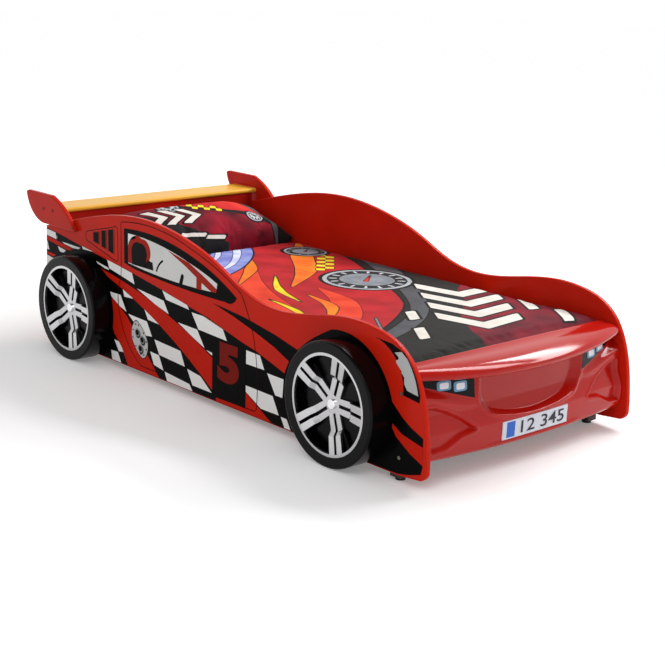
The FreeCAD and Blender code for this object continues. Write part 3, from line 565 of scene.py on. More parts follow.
lamp_black = lacquer("gloss_black_lamp_film", "0A0A0C", 0.14, 0.1, 0.02)
lamp_ring = lacquer("pale_blue_lamp_ring", "5E93B4", 0.2, 0.4, 0.1)
lamp_white = lacquer("white_lamp_middle", "E6ECF2", 0.2, 0.4, 0.05)
lamp_dark_ring = lacquer("dark_blue_lamp_edge", "1D3A52", 0.2, 0.4, 0.05)
rings_of_lamp = (("edge", 1.0, lamp_dark_ring), ("ring", 0.93, lamp_ring), ("middle", 0.60, lamp_white))
lamps = ((0.312, 0.052, 0.033, 0.2925), (0.371, 0.052, 0.031, 0.3010))
for side, word in ((-1, "right"), (1, "left")):
    face_patch("lamp_film_" + word, ((side * 0.2575, 0.2485, 0.3095), (side * 0.452, 0.3075, 0.3245)), 0.0012,
               lamp_black, (60, 20), None, ("lamp_panel_" + word,))
    for k, (centre, width, height, cz) in enumerate(lamps):
        for ring, (part, grow, material) in enumerate(rings_of_lamp):
            low_z, high_z = cz - height / 2 * grow, cz + height / 2 * grow
            ends = [(side * (centre + way * width / 2 * grow), low_z, high_z) for way in (-1, 1)]
            lens = face_patch("lamp_%s_%s_%d" % (part, word, k + 1), ends,
                              0.0022 + 0.0006 * ring, material, (22, 18), 5.0)
            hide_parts("lamp_lenses")

plate_white = lacquer("white_printed_plate", "D9DCE6", 0.35, 0.3, 0.02)
plate_blue = lacquer("blue_plate_band", "1E62C8", 0.35, 0.3, 0.03)
plate_ink = lacquer("dark_plate_figures", "23252E", 0.4, 0.2, 0.02)
plate_low, plate_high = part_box("number_plate")
pl, ph = plate_low[2], plate_high[2]
face_patch("plate_board", ((-0.155, pl, ph), (0.155, pl, ph)), 0.0030, plate_white, (60, 14),
           None, ("number_plate",))
face_patch("plate_band", ((-0.137, pl + 0.004, ph - 0.004), (-0.100, pl + 0.004, ph - 0.004)), 0.0036,
           plate_blue, (10, 12))


def on_plate(flat):
    """Figures stretched to 225 mm by 40 mm and laid along the bowed plate."""
    across = -0.088 + flat[:, 0] / flat[:, 0].max() * 0.225
    up = pl + 0.0095 + flat[:, 1] / flat[:, 1].max() * 0.040
    return np.stack([face_x(across, up) + 0.0040, across, up], 1)


set_figures("plate_figures", "12 345", 0.056, 0.0004, on_plate, plate_ink)


# --- Tail fins and shelf --------------------------------------------------------------------------
# Fins of 18 mm board in the same red lacquer, screwed to the outside of the sides, and
# a shelf between them in amber lacquer with a rounded front edge.
dress(lacquer("red_lacquer_fins", "C4200F", 0.24, 0.08), "tail_fin_left", "tail_fin_right")
dress(lacquer("amber_lacquer_shelf", "EDB23A", 0.3, 0.14, 0.06), "spoiler_shelf")


# --- Wheels ---------------------------------------------------------------------------------------
# Each wheel is a fixed tub of glossy black plastic, a dark disc behind
# the spokes, a silver-painted rim with five double spokes, and a small chrome cap.
def moulded_plastic(name, colour, roughness, gloss=0.2, grain=900.0, strength=0.25):
    """Injection-moulded plastic: one colour with a faint flow mottle, and a spark-eroded grain
    with cells of about 1 mm that breaks up its sheen."""
    made, tree, shader = finish_of(name, IOR=1.5, Specular_IOR_Level=gloss)
    place = add(tree, "ShaderNodeTexCoord").outputs["Object"]
    flow = add(tree, "ShaderNodeTexNoise", {"Vector": place, "Scale": 12.0, "Detail": 4.0})
    tone = add(tree, "ShaderNodeMapRange", {0: flow.outputs["Fac"], 1: 0.3, 2: 0.7, 3: 0.85, 4: 1.15})
    shade = add(tree, "ShaderNodeHueSaturation", {"Value": tone.outputs[0], "Color": linear(colour)})
    cells = add(tree, "ShaderNodeTexVoronoi", {"Vector": place, "Scale": grain})
    bump = add(tree, "ShaderNodeBump", {"Height": cells.outputs["Distance"], "Strength": strength,
                                        "Distance": 0.0003})
    rough = add(tree, "ShaderNodeMapRange", {0: flow.outputs["Fac"], 1: 0.3, 2: 0.7,
                                             3: roughness - 0.05, 4: roughness + 0.05})
    tree.links.new(shade.outputs[0], shader.inputs["Base Color"])
    tree.links.new(rough.outputs[0], shader.inputs["Roughness"])
    tree.links.new(bump.outputs[0], shader.inputs["Normal"])
    return made


def silver_paint(name):
    """Silver enamel with metal flake: fully metallic, flakes of about 1 mm that vary in tone, and
    edges softened by 2 mm as a moulding's are."""
    made, tree, shader = finish_of(name, Metallic=1.0, Coat_Weight=0.3, Coat_Roughness=0.1)
    place = add(tree, "ShaderNodeTexCoord").outputs["Object"]
    flakes = add(tree, "ShaderNodeTexVoronoi", {"Vector": place, "Scale": 1100.0})
    cloud = add(tree, "ShaderNodeTexNoise", {"Vector": place, "Scale": 16.0, "Detail": 3.0})
    both = add(tree, "ShaderNodeMath", {0: flakes.outputs["Color"], 1: cloud.outputs["Fac"]}, operation="ADD")
    tone = add(tree, "ShaderNodeMapRange", {0: both.outputs[0], 1: 0.4, 2: 1.6, 3: 0.92, 4: 1.06})
    shade = add(tree, "ShaderNodeHueSaturation", {"Value": tone.outputs[0], "Color": linear("C9C9CB")})
    edge = add(tree, "ShaderNodeBevel", {"Radius": 0.002}, samples=6)
    tree.links.new(shade.outputs[0], shader.inputs["Base Color"])
    tree.links.new(edge.outputs[0], shader.inputs["Normal"])
    shader.inputs["Roughness"].default_value = 0.2
    return made


wheels = [end + "_" + side for end in ("front", "rear") for side in ("left", "right")]
tyre_black = moulded_plastic("black_moulded_tyre", "080809", 0.18, 0.12, 700.0, 0.06)
backing_black = moulded_plastic("dark_backing_disc", "060506", 0.2, 0.1, 700.0, 0.1)
dress(tyre_black, *["tyre_" + w for w in wheels])
dress(backing_black, *["wheel_backing_" + w for w in wheels])
dress(silver_paint("silver_painted_rim"), *["rim_" + w for w in wheels])
chrome, chrome_tree, chrome_shader = finish_of("chrome_cap", Metallic=1.0, Roughness=0.08)
place = add(chrome_tree, "ShaderNodeTexCoord").outputs["Object"]
film_noise = add(chrome_tree, "ShaderNodeTexNoise", {"Vector": place, "Scale": 60.0, "Detail": 3.0})
sheen = add(chrome_tree, "ShaderNodeMapRange", {0: film_noise.outputs["Fac"], 3: 0.05, 4: 0.16})
grey = add(chrome_tree, "ShaderNodeMapRange", {0: film_noise.outputs["Fac"], 3: 0.92, 4: 1.06})
tint = add(chrome_tree, "ShaderNodeHueSaturation", {"Value": grey.outputs[0], "Color": linear("F4F4F6")})
chrome_tree.links.new(sheen.outputs[0], chrome_shader.inputs["Roughness"])
chrome_tree.links.new(tint.outputs[0], chrome_shader.inputs["Base Color"])
dress(chrome, *["centre_cap_" + w for w in wheels])


# --- Slatted base ---------------------------------------------------------------------------------
# Planed pine: slats across two side rails and a centre rail on short posts and legs, with
# black plastic glides under the feet. The posts and legs are coloured near black as painted
# shade, so that they read as the shade under the bed.
def planed_pine(name, along, early="E0BC84", late="A87842"):
    """Pine cut along the grain: growth rings 9 mm apart seen as stretched bands, with a
    fine fibre of 0.6 mm, lighter early wood and darker late wood."""
    made, tree, shader = finish_of(name, Roughness=0.6, IOR=1.5)
    place = add(tree, "ShaderNodeTexCoord").outputs["Object"]
    long_way = (0.06, 1, 1) if along == "X" else (1, 0.06, 1)
    stretch = add(tree, "ShaderNodeMapping", {"Vector": place, "Scale": long_way})
    ring = add(tree, "ShaderNodeTexNoise", {"Vector": stretch.outputs[0], "Scale": 60.0, "Detail": 4.0})
    fibre = add(tree, "ShaderNodeTexNoise", {"Vector": stretch.outputs[0], "Scale": 900.0, "Detail": 2.0})
    mix = add(tree, "ShaderNodeMix", {"Factor": ring.outputs["Fac"]}, data_type="RGBA")
    mix.inputs[6].default_value = linear(early)
    mix.inputs[7].default_value = linear(late)
    bump = add(tree, "ShaderNodeBump", {"Height": fibre.outputs["Fac"], "Strength": 0.3, "Distance": 0.0004})
    tree.links.new(mix.outputs[2], shader.inputs["Base Color"])
    tree.links.new(bump.outputs[0], shader.inputs["Normal"])
    return made


dress(planed_pine("planed_pine_across", "Y"), *["slat_%02d" % (k + 1) for k in range(13)])
dress(planed_pine("planed_pine_along", "X"), "side_rail_left", "side_rail_right", "centre_rail")
# Posts and legs: pine coloured near black as painted shade for the shadow under the bed.
dress(planed_pine("pine_posts_darkened_as_painted_shade", "Y", "3A2A1E", "1E1510"), "centre_leg_front", "centre_leg_rear",
      "corner_post_front_left", "corner_post_front_right", "corner_post_rear_left", "corner_post_rear_right")
dress(moulded_plastic("black_floor_glide", "171717", 0.55), "floor_glides")


# --- Screws and bolts -----------------------------------------------------------------------------
# Zinc-plated steel with a faint yellow cast; the plating is cloudy and slightly rough.
zinc, zinc_tree, zinc_shader = finish_of("yellow_zinc_plate", Metallic=1.0)
place = add(zinc_tree, "ShaderNodeTexCoord").outputs["Object"]
spangle = add(zinc_tree, "ShaderNodeTexNoise", {"Vector": place, "Scale": 350.0, "Detail": 3.0})
mix = add(zinc_tree, "ShaderNodeMix", {"Factor": spangle.outputs["Fac"]}, data_type="RGBA")
mix.inputs[6].default_value = linear("8C887A")
mix.inputs[7].default_value = linear("5E5B52")
dull = add(zinc_tree, "ShaderNodeMapRange", {0: spangle.outputs["Fac"], 3: 0.25, 4: 0.5})
zinc_tree.links.new(mix.outputs[2], zinc_shader.inputs["Base Color"])
zinc_tree.links.new(dull.outputs[0], zinc_shader.inputs["Roughness"])
dress(zinc, "panel_screws", "rail_screws", "wheel_bolts", "moulding_screws")
dress(lacquer("red_capped_screws", "8A2419", 0.35, 0.12), "fin_screws")


# --- Mattress -------------------------------------------------------------------------------------
# A foam core in white quilted ticking with tufted diamonds, nearly hidden under the duvet; the
# ticking is painted darker in the quilting's grooves and lighter on its puffs as painted shade.
def spread(count, pull):
    """Numbers from -1 to 1 that crowd towards both ends: sign(t) times 1 - (1 - |t|) to a power."""
    t = np.linspace(-1, 1, count)
    return np.sign(t) * (1 - (1 - np.abs(t)) ** pull)


def fullness(a, b, fall_a, fall_b, power):
    """How far a stuffed sheet stands off its rim: the power of (1 - |a|^p)(1 - |b|^q)."""
    return ((1 - np.abs(a) ** fall_a) * (1 - np.abs(b) ** fall_b)) ** power


def two_sheets(name, top, bottom, material):
    """A closed pad of an upper and a lower sheet that meet all round their rim."""
    rows, columns = top.shape[:2]
    index = np.arange(rows * columns).reshape(rows, columns)
    quads = np.stack([index[:-1, :-1], index[1:, :-1], index[1:, 1:], index[:-1, 1:]], -1).reshape(-1, 4)
    faces = np.concatenate([quads, quads[:, ::-1] + rows * columns])
    piece = mesh_piece(name, np.concatenate([top.reshape(-1, 3), bottom.reshape(-1, 3)]), faces, material)
    outward(piece)
    piece.data.polygons.foreach_set("use_smooth", [True] * len(piece.data.polygons))
    return piece


ticking, ticking_tree, ticking_shader = finish_of("quilted_white_ticking", Roughness=0.85, Sheen_Weight=0.2,
                                                  Specular_IOR_Level=0.2)
place = add(ticking_tree, "ShaderNodeTexCoord").outputs["Object"]
turned = add(ticking_tree, "ShaderNodeMapping", {"Vector": place, "Rotation": (0, 0, math.pi / 4)})
diamonds = [add(ticking_tree, "ShaderNodeTexWave", {"Vector": turned.outputs[0], "Scale": 3.4},
                wave_type="BANDS", bands_direction=way) for way in ("X", "Y")]
quilt = add(ticking_tree, "ShaderNodeMath", {0: diamonds[0].outputs["Fac"], 1: diamonds[1].outputs["Fac"]},
            operation="MULTIPLY")
knit = add(ticking_tree, "ShaderNodeTexNoise", {"Vector": place, "Scale": 500.0, "Detail": 2.0})
quilt_bump = add(ticking_tree, "ShaderNodeBump", {"Height": quilt.outputs[0], "Strength": 0.6,
                                                  "Distance": 0.008})
knit_bump = add(ticking_tree, "ShaderNodeBump", {"Height": knit.outputs["Fac"], "Strength": 0.3,
                                                 "Distance": 0.0006, "Normal": quilt_bump.outputs[0]})
# Painted shade: the ticking is darker in the quilting's grooves and lighter on its puffs, following the
# bump's pattern.
painted_quilt_shade = add(ticking_tree, "ShaderNodeMix", {"Factor": quilt.outputs[0]}, data_type="RGBA")
painted_quilt_shade.inputs[6].default_value = linear("C9C9C6")
painted_quilt_shade.inputs[7].default_value = linear("E8E8E6")
ticking_tree.links.new(painted_quilt_shade.outputs[2], ticking_shader.inputs["Base Color"])
ticking_tree.links.new(knit_bump.outputs[0], ticking_shader.inputs["Normal"])

low, high = (np.array(corner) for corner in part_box("mattress"))
a, b = np.meshgrid(spread(110, 2.2), spread(70, 2.2), indexing="ij")
middle, half = (low + high) / 2, (high - low) / 2
rise = half[2] * fullness(a, b, 46, 26, 0.22)
x, y = middle[0] + half[0] * a, middle[1] + half[1] * b
mattress = two_sheets("mattress_core", np.stack([x, y, middle[2] + rise], -1),
                      np.stack([x, y, middle[2] - rise], -1), ticking)
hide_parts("mattress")
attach(mattress, "mattress")


# --- Duvet ----------------------------------------------------------------------------------------
# A thin quilted duvet in printed cotton that lies flat on the mattress and rolls over at
# its edges: charcoal and crimson with a racing pattern of swooshes, chevrons, chequers and a dial.
def swell(piece, voxel, pressure, slack, cap, frames, pinned):
    """Stuffs a closed pad: it is remeshed evenly, blown up as cloth with a little slack so that
    it wrinkles, and each point's travel is capped. Points where pinned is true stay. Gives
    the points before and after."""
    scene = bpy.context.scene
    even = piece.modifiers.new("even_mesh", "REMESH")
    even.mode = "VOXEL"
    even.voxel_size = voxel
    even.use_smooth_shade = True
    taken = bpy.data.meshes.new_from_object(piece.evaluated_get(bpy.context.evaluated_depsgraph_get()))
    piece.modifiers.clear()
    piece.data = taken
    rest = np.empty(len(taken.vertices) * 3)
    taken.vertices.foreach_get("co", rest)
    rest = rest.reshape(-1, 3)
    held = piece.vertex_groups.new(name="held")
    held.add(np.nonzero(pinned(rest))[0].tolist(), 1.0, "REPLACE")
    cloth = piece.modifiers.new("cotton", "CLOTH")
    cloth.settings.use_pressure = True
    cloth.settings.uniform_pressure_force = pressure
    cloth.settings.effector_weights.gravity = 0
    cloth.settings.vertex_group_mass = "held"
    cloth.settings.quality = 4
    cloth.settings.mass = 0.25
    cloth.settings.tension_stiffness = 18
    cloth.settings.compression_stiffness = 18
    cloth.settings.shear_stiffness = 6
    cloth.settings.bending_stiffness = 0.4
    cloth.settings.shrink_min = -slack
    cloth.point_cache.frame_start = 1
    cloth.point_cache.frame_end = frames
    for moment in range(1, frames + 1):
        scene.frame_set(moment)
    after = bpy.data.meshes.new_from_object(piece.evaluated_get(bpy.context.evaluated_depsgraph_get()))
    moved = np.empty(len(after.vertices) * 3)
    after.vertices.foreach_get("co", moved)
    piece.modifiers.clear()
    piece.vertex_groups.clear()
    scene.frame_set(1)
    travel = moved.reshape(-1, 3) - rest
    length = np.linalg.norm(travel, axis=1)[:, None]
    travel = travel * np.minimum(1, cap / np.maximum(length, 1e-9))
    return rest, rest + travel


def swoosh(points, widths, count=28):
    """A band along a smooth curve through points, by Catmull and Rom's weights, as wide as
    the widths say in turn."""
    p = np.array(points, float)
    p = np.concatenate([[2 * p[0] - p[1]], p, [2 * p[-1] - p[-2]]])
    t = np.linspace(0, len(points) - 1, count)
    k = np.minimum(t.astype(int), len(points) - 2)
    f = (t - k)[:, None]
    path = 0.5 * (2 * p[k + 1] + (p[k + 2] - p[k]) * f
                  + (2 * p[k] - 5 * p[k + 1] + 4 * p[k + 2] - p[k + 3]) * f**2
                  + (3 * p[k + 1] - p[k] - 3 * p[k + 2] + p[k + 3]) * f**3)
    way = np.gradient(path, axis=0)
    way /= np.linalg.norm(way, axis=1)[:, None]
    wide = np.interp(t, np.linspace(0, len(points) - 1, len(widths)), widths)[:, None] / 2
    across = np.stack([-way[:, 1], way[:, 0]], 1) * wide
    return np.concatenate([path + across, (path - across)[::-1]]).tolist()


def turned_shape(shape, degrees, u, v, size=1.0):
    """A shape scaled, turned about its origin and moved."""
    angle = math.radians(degrees)
    turn = np.array([[math.cos(angle), math.sin(angle)], [-math.sin(angle), math.cos(angle)]])
    return (np.array(shape, float) * size @ turn + (u, v)).tolist()


def chequer(u, v, degrees, cell, across, along):
    """Every other square of a strip of squares."""
    square = [(0, 0), (cell, 0), (cell, cell), (0, cell)]
    return [turned_shape(np.array(square) + (cell * i, cell * j), degrees, u, v)
            for i in range(along) for j in range(across) if (i + j) % 2 == 0]


def dial(u, v, radius, ticks=16):
    """Rims, ticks and needle of a round gauge, each as a list of outlines."""
    rings = [disc(u, v, radius * share, 44) for share in (1.0, 0.9, 0.7, 0.62, 0.16)]
    turn = [math.tau * k / ticks for k in range(ticks)]
    bar = [(radius * 0.66, -radius * 0.025), (radius * 0.86, -radius * 0.04),
           (radius * 0.86, radius * 0.04), (radius * 0.66, radius * 0.025)]
    marks = [turned_shape(bar, math.degrees(angle), u, v) for angle in turn]
    needle = turned_shape([(-radius * 0.2, -radius * 0.05), (radius * 0.58, 0),
                           (-radius * 0.2, radius * 0.05)], 128, u, v)
    return rings, marks, needle


def printed_cotton(name, ground, glow, layers):
    """Printed cotton sateen: inks one over another where their distance field is below
    zero, each with an outline; a plain weave drawn at 1.1 mm, slubs, and a soft sheen."""
    made, tree, shader = finish_of(name, Roughness=0.7, Sheen_Weight=0.03, Sheen_Roughness=0.5,
                                   Specular_IOR_Level=0.1)
    flat = add(tree, "ShaderNodeAttribute", attribute_name="flat").outputs["Vector"]
    cloud = add(tree, "ShaderNodeTexNoise", {"Vector": flat, "Scale": 9.0, "Detail": 2.0})
    base = add(tree, "ShaderNodeMix", {"Factor": cloud.outputs["Fac"]}, data_type="RGBA")
    base.inputs[6].default_value = linear(ground)
    base.inputs[7].default_value = linear(glow)
    colour = base.outputs[2]
    for number, (fill, shade, outline, width, _) in enumerate(layers):
        field = add(tree, "ShaderNodeAttribute", attribute_name="ink_%02d" % number).outputs["Fac"]
        if width:
            rim = add(tree, "ShaderNodeMapRange", {0: field, 1: width / 1000 - 0.0006,
                                                   2: width / 1000 + 0.0006, 3: 1.0, 4: 0.0})
            edge = add(tree, "ShaderNodeMix", {"Factor": rim.outputs[0]}, data_type="RGBA")
            tree.links.new(colour, edge.inputs[6])
            edge.inputs[7].default_value = linear(outline)
            colour = edge.outputs[2]
        inside = add(tree, "ShaderNodeMapRange", {0: field, 1: -0.0006, 2: 0.0006, 3: 1.0, 4: 0.0})
        blotch = add(tree, "ShaderNodeTexNoise", {"Vector": flat, "Scale": 6.0 + number, "Detail": 1.0})
        tone = add(tree, "ShaderNodeMapRange", {0: blotch.outputs["Fac"], 1: 0.35, 2: 0.65})
        fill_mix = add(tree, "ShaderNodeMix", {"Factor": tone.outputs[0]}, data_type="RGBA")
        fill_mix.inputs[6].default_value = linear(fill)
        fill_mix.inputs[7].default_value = linear(shade)
        over = add(tree, "ShaderNodeMix", {"Factor": inside.outputs[0]}, data_type="RGBA")
        tree.links.new(colour, over.inputs[6])
        tree.links.new(fill_mix.outputs[2], over.inputs[7])
        colour = over.outputs[2]
    threads = [add(tree, "ShaderNodeTexWave", {"Vector": flat, "Scale": 290.0}, wave_type="BANDS",
                   bands_direction=way) for way in ("X", "Y")]
    weave = add(tree, "ShaderNodeMath", {0: threads[0].outputs["Fac"], 1: threads[1].outputs["Fac"]},
                operation="ADD")
    crumple = add(tree, "ShaderNodeTexNoise", {"Vector": flat, "Scale": 38.0, "Detail": 4.0})
    fold_bump = add(tree, "ShaderNodeBump", {"Height": crumple.outputs["Fac"], "Strength": 0.25,
                                             "Distance": 0.004})
    weave_bump = add(tree, "ShaderNodeBump", {"Height": weave.outputs[0], "Strength": 0.12,
                                              "Distance": 0.0004, "Normal": fold_bump.outputs[0]})
    tree.links.new(colour, shader.inputs["Base Color"])
    tree.links.new(weave_bump.outputs[0], shader.inputs["Normal"])
    return made


def print_on(piece, flat, layers):
    """Keeps each point's place on the flat cloth, in metres, and its distance to every ink."""
    data = piece.data
    place = data.attributes.new("flat", "FLOAT_VECTOR", "POINT")
    place.data.foreach_set("vector", np.column_stack([flat, np.zeros(len(flat))]).ravel())
    for number, layer in enumerate(layers):
        least = np.full(len(flat), 1.0)
        for outline in layer[4]:
            least = np.minimum(least, from_outline(flat * 1000, outline) / 1000)
        field = data.attributes.new("ink_%02d" % number, "FLOAT", "POINT")
        field.data.foreach_set("value", least)


def set_points(piece, points):
    """Moves a mesh to new points."""
    piece.data.vertices.foreach_set("co", points.ravel())
    piece.data.update()
    piece.data.polygons.foreach_set("use_smooth", [True] * len(piece.data.polygons))


chevron = [(0, 0), (-150, 165), (-245, 165), (-95, 0), (-245, -165), (-150, -165)]
rings, marks, needle = dial(125, 175, 165)
small_rings, small_marks, small_needle = dial(-400, 330, 88, 12)
crimson_field = [(300, 520), (430, 330), (560, 235), (700, 60), (860, -60), (1050, -140), (1050, 520)]
red_field = swoosh([(-680, 300), (-380, 180), (0, -30), (330, -200), (640, -520)], [500, 520, 560, 520, 300])
layers = [
    ("8B1428", "5C0B1D", "111112", 0, [crimson_field]),
    ("5B5C60", "4A4B4F", "0E0E0F", 6, [
        swoosh([(-260, 540), (60, 350), (330, 190), (560, 10), (700, -200), (820, -520)],
               [120, 90, 70, 60, 60, 40])]),
    ("C41F26", "A8161E", "0E0E0F", 9, [red_field]),
    ("EE4A2C", "D9381E", "5A0E10", 3, [
        swoosh([(-600, 60), (-320, -60), (-40, -250), (240, -360), (520, -420)],
               [10, 90, 130, 120, 20]),
        swoosh([(120, -60), (330, -130), (500, -280), (560, -470)], [8, 90, 110, 20])]),
    ("F28A1E", "F06A1E", "2A0A06", 4, [
        swoosh([(-560, 430), (-330, 250), (-110, 80), (60, -130)], [20, 90, 80, 8]),
        swoosh([(180, -160), (360, -210), (500, -350)], [6, 46, 8]),
        swoosh([(-420, 60), (-250, -70), (-80, -260)], [6, 50, 8])]),
    ("F2E432", "E8C822", "1A1206", 4, chequer(-330, 330, -42, 34, 2, 9)
     + [swoosh([(-120, -60), (60, -190), (250, -250)], [4, 30, 4]),
        swoosh([(150, -310), (330, -340), (470, -400)], [4, 26, 4])]),
    ("7C82CE", "9AA6E2", "15152A", 8, [
        swoosh([(-680, 120), (-520, 20), (-360, -140), (-250, -330), (-160, -520)],
               [230, 210, 180, 150, 120])]),
    ("C4CCF4", "E4E8FA", "2A2C5A", 3, [
        swoosh([(-660, 170), (-500, 60), (-350, -90), (-240, -300)], [34, 30, 22, 4]),
        swoosh([(-660, 80), (-520, -20), (-390, -160)], [18, 22, 4])]),
    ("35386E", "2A2C58", "101020", 2, [
        swoosh([(-660, 30), (-540, -70), (-420, -210), (-350, -380)], [40, 34, 26, 4])]),
    ("B9BDC2", "A4A8AE", "0C0C0D", 15, [rings[0], small_rings[0]]),
    ("2B2D31", "1F2124", "0C0C0D", 0, [rings[1], small_rings[1]]),
    ("D4D7DA", "C2C6CA", "0C0C0D", 0, marks + small_marks),
    ("8E939A", "7C8188", "0C0C0D", 3, [rings[3], small_rings[3]]),
    ("D8381E", "C82A1A", "160605", 3, [needle, small_needle]),
    ("E9E4DC", "DDD6CC", "0E0D0D", 10, [
        turned_shape(chevron, -36, 520 + 118 * k, 265 - 86 * k, 0.86) for k in range(4)]
     + [turned_shape([(0, 0), (170, 0), (150, 40), (-20, 40)], -36, 640, 420),
        turned_shape([(0, 0), (150, 0), (130, 40), (-20, 40)], -36, 820, 400),
        turned_shape([(0, 0), (110, 0), (90, 36), (-20, 36)], -36, 560, -60),
        turned_shape([(0, 0), (130, 0), (110, 36), (-20, 36)], -36, 730, -190)]),
    ("8F9094", "86878A", "0E0D0D", 3, [turned_shape([(0, 0), (520, 0), (505, 9), (-15, 9)], -36, 560, -200)]),
]

low, high = (np.array(corner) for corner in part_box("duvet"))
middle, half = (low + high) / 2, (high - low) / 2
a, b = np.meshgrid(spread(200, 1.6), spread(130, 1.6), indexing="ij")
x, y = middle[0] + half[0] * a, middle[1] + half[1] * b
rim_z = low[2] + 0.018
body = fullness(a, b, 20, 13, 0.42)
over = (high[2] - rim_z - 0.006) * body * (1 - 0.22 * b * b)
under = (rim_z - low[2] - 0.0015) * fullness(a, b, 34, 24, 0.3)
cotton = printed_cotton("printed_cotton_duvet", "191817", "262521", layers)
duvet = two_sheets("duvet_cover", np.stack([x, y, rim_z + over], -1),
                   np.stack([x, y, rim_z - under], -1), cotton)
rest, points = swell(duvet, 0.008, 2.5, 0.012, 0.007, 16, lambda p: p[:, 2] < rim_z - 0.004)
set_points(duvet, points)
hang = np.sign(rest[:, 1]) * np.maximum(0, rim_z + 0.02 - rest[:, 2])
print_on(duvet, rest[:, :2] + np.column_stack([np.zeros(len(rest)), hang]), layers)
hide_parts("duvet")
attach(duvet, "duvet")


# --- Pillow ---------------------------------------------------------------------------------------
# A full pillow in the same cotton that leans on the headboard. Two sheets meet in a seam
# all round, whose corners stand out as small ears.
low, high = (np.array(corner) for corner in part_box("pillow"))
middle, half = (low + high) / 2, (high - low) / 2
a, b = np.meshgrid(spread(90, 1.5), spread(170, 1.5), indexing="ij")
lean = (a + 1) / 2


def pillow_seam(a, b):
    """The sheet on which the seam lies: from a low front edge to a high back edge, its sides
    drawn in between the corners by the square of the distance from them."""
    share = (a + 1) / 2
    bulge = 1 - b**2
    x = high[0] + 0.012 - 0.018 * bulge - share * (high[0] + 0.012 - low[0] - 0.004) * (1 - 0.02 * bulge)
    y = middle[1] + half[1] * b * (1 - 0.035 * (1 - a**2))
    z = 0.396 + 0.076 * share**1.1 - 0.006 * np.abs(b) ** 3
    return np.stack([x, y, z], -1)


seam = pillow_seam(a, b)
taper = 1 - 0.80 * np.clip((b - 0.45) / 0.55, 0, 1) ** 1.3
over = 0.079 * fullness(a, b, 3.2, 7.0, 0.5) * taper
under = np.minimum(0.16 * fullness(a, b, 4.0, 8.0, 0.5) * (0.35 + 0.65 * taper),
                   seam[..., 2] - low[2] - 0.001)
upward = np.array([0.10, 0, 1.0])
pillow_layers = [
    ("A3142D", "4A0A18", "111112", 0, [
        swoosh([(0, 300), (120, 60), (260, -160), (420, -330)], [150, 190, 160, 60])]),
    ("C41F26", "E8382A", "0E0E0F", 8, [
        swoosh([(420, -180), (330, 20), (250, 200), (120, 420)], [40, 110, 120, 20])]),
    ("F2E432", "F0B41E", "1A1206", 4, chequer(330, -20, 118, 26, 2, 6)),
    ("5B5C60", "46474B", "0E0E0F", 6, [
        swoosh([(430, 240), (300, 300), (170, 330), (-20, 300)], [60, 60, 50, 10])]),
    ("B9BDC2", "A4A8AE", "0C0C0D", 11, [disc(315, -120, 52), disc(150, 235, 42)]),
    ("2B2D31", "1F2124", "0C0C0D", 0, [disc(315, -120, 42), disc(150, 235, 33)]),
    ("D4D7DA", "C2C6CA", "0C0C0D", 0, [
        turned_shape([(14, -3), (38, -5), (38, 5), (14, 3)], 30 * k, 315, -120) for k in range(12)]
     + [turned_shape([(10, -3), (30, -4), (30, 4), (10, 3)], 36 * k, 150, 235) for k in range(10)]),
    ("E9E4DC", "DDD6CC", "0E0D0D", 7, [
        turned_shape(chevron, 98, 210 - 4 * k, -170 + 78 * k, 0.42) for k in range(3)]
     + [turned_shape([(0, 0), (120, 0), (108, 22), (-12, 22)], 98, 90, -150),
        turned_shape([(0, 0), (90, 0), (78, 20), (-12, 20)], 98, 60, -30)]),
    ("8F9094", "86878A", "0E0D0D", 0, [swoosh([(60, 378), (200, 372), (400, 378)], [3, 3, 3])]),
]
pillow_cotton = printed_cotton("printed_cotton_pillow", "151415", "222120", pillow_layers)
downward = np.array([0, 0, -1.0])
pillow = two_sheets("pillow_cover", seam + over[..., None] * upward, seam + under[..., None] * downward,
                    pillow_cotton)


def pillow_flat(points):
    """Each point's place on the flat cover, in millimetres over a thousand: its share of the way from
    the front seam to the back, stretched by the arch, and its distance along the bed's width."""
    share = np.clip((high[0] + 0.006 - points[:, 0]) / (high[0] - low[0]), 0, 1)
    climb = np.clip(points[:, 2] - 0.396, 0, 1)
    return np.column_stack([share * 0.27 + climb * 1.05, points[:, 1] - middle[1]])


rest, points = swell(pillow, 0.006, 4.0, 0.02, 0.012, 18, lambda p: p[:, 2] < low[2] + 0.004)
set_points(pillow, points)
print_on(pillow, pillow_flat(rest), pillow_layers)
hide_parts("pillow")
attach(pillow, "pillow")


# --- Room, light and camera -----------------------------------------------------------------------
# A white floor that keeps the soft shadow, a pale surround, and large soft lamps: one high
# behind the far side that draws the long gleam on the nose, one beside the camera.
floor_data = bpy.data.meshes.new("studio_floor")
floor_data.from_pydata([(-30, -30, 0), (30, -30, 0), (30, 30, 0), (-30, 30, 0)], [], [(0, 1, 2, 3)])
floor = bpy.data.objects.new("studio_floor", floor_data)
bpy.context.scene.collection.objects.link(floor)
paper, paper_tree, paper_shader = finish_of("white_paper_floor", Roughness=0.9, Specular_IOR_Level=0.0)
paper_shader.inputs["Base Color"].default_value = (0.95, 0.95, 0.95, 1)


def seen_ray(tree):
    """1 on rays from the camera, a reflection or glass, and 0 on the rays that light the bed."""
    ray = add(tree, "ShaderNodeLightPath")
    seen = add(tree, "ShaderNodeMath", {0: ray.outputs["Is Camera Ray"], 1: ray.outputs["Is Glossy Ray"]},
               operation="MAXIMUM")
    return add(tree, "ShaderNodeMath", {0: seen.outputs[0], 1: ray.outputs["Is Transmission Ray"]},
               operation="MAXIMUM")


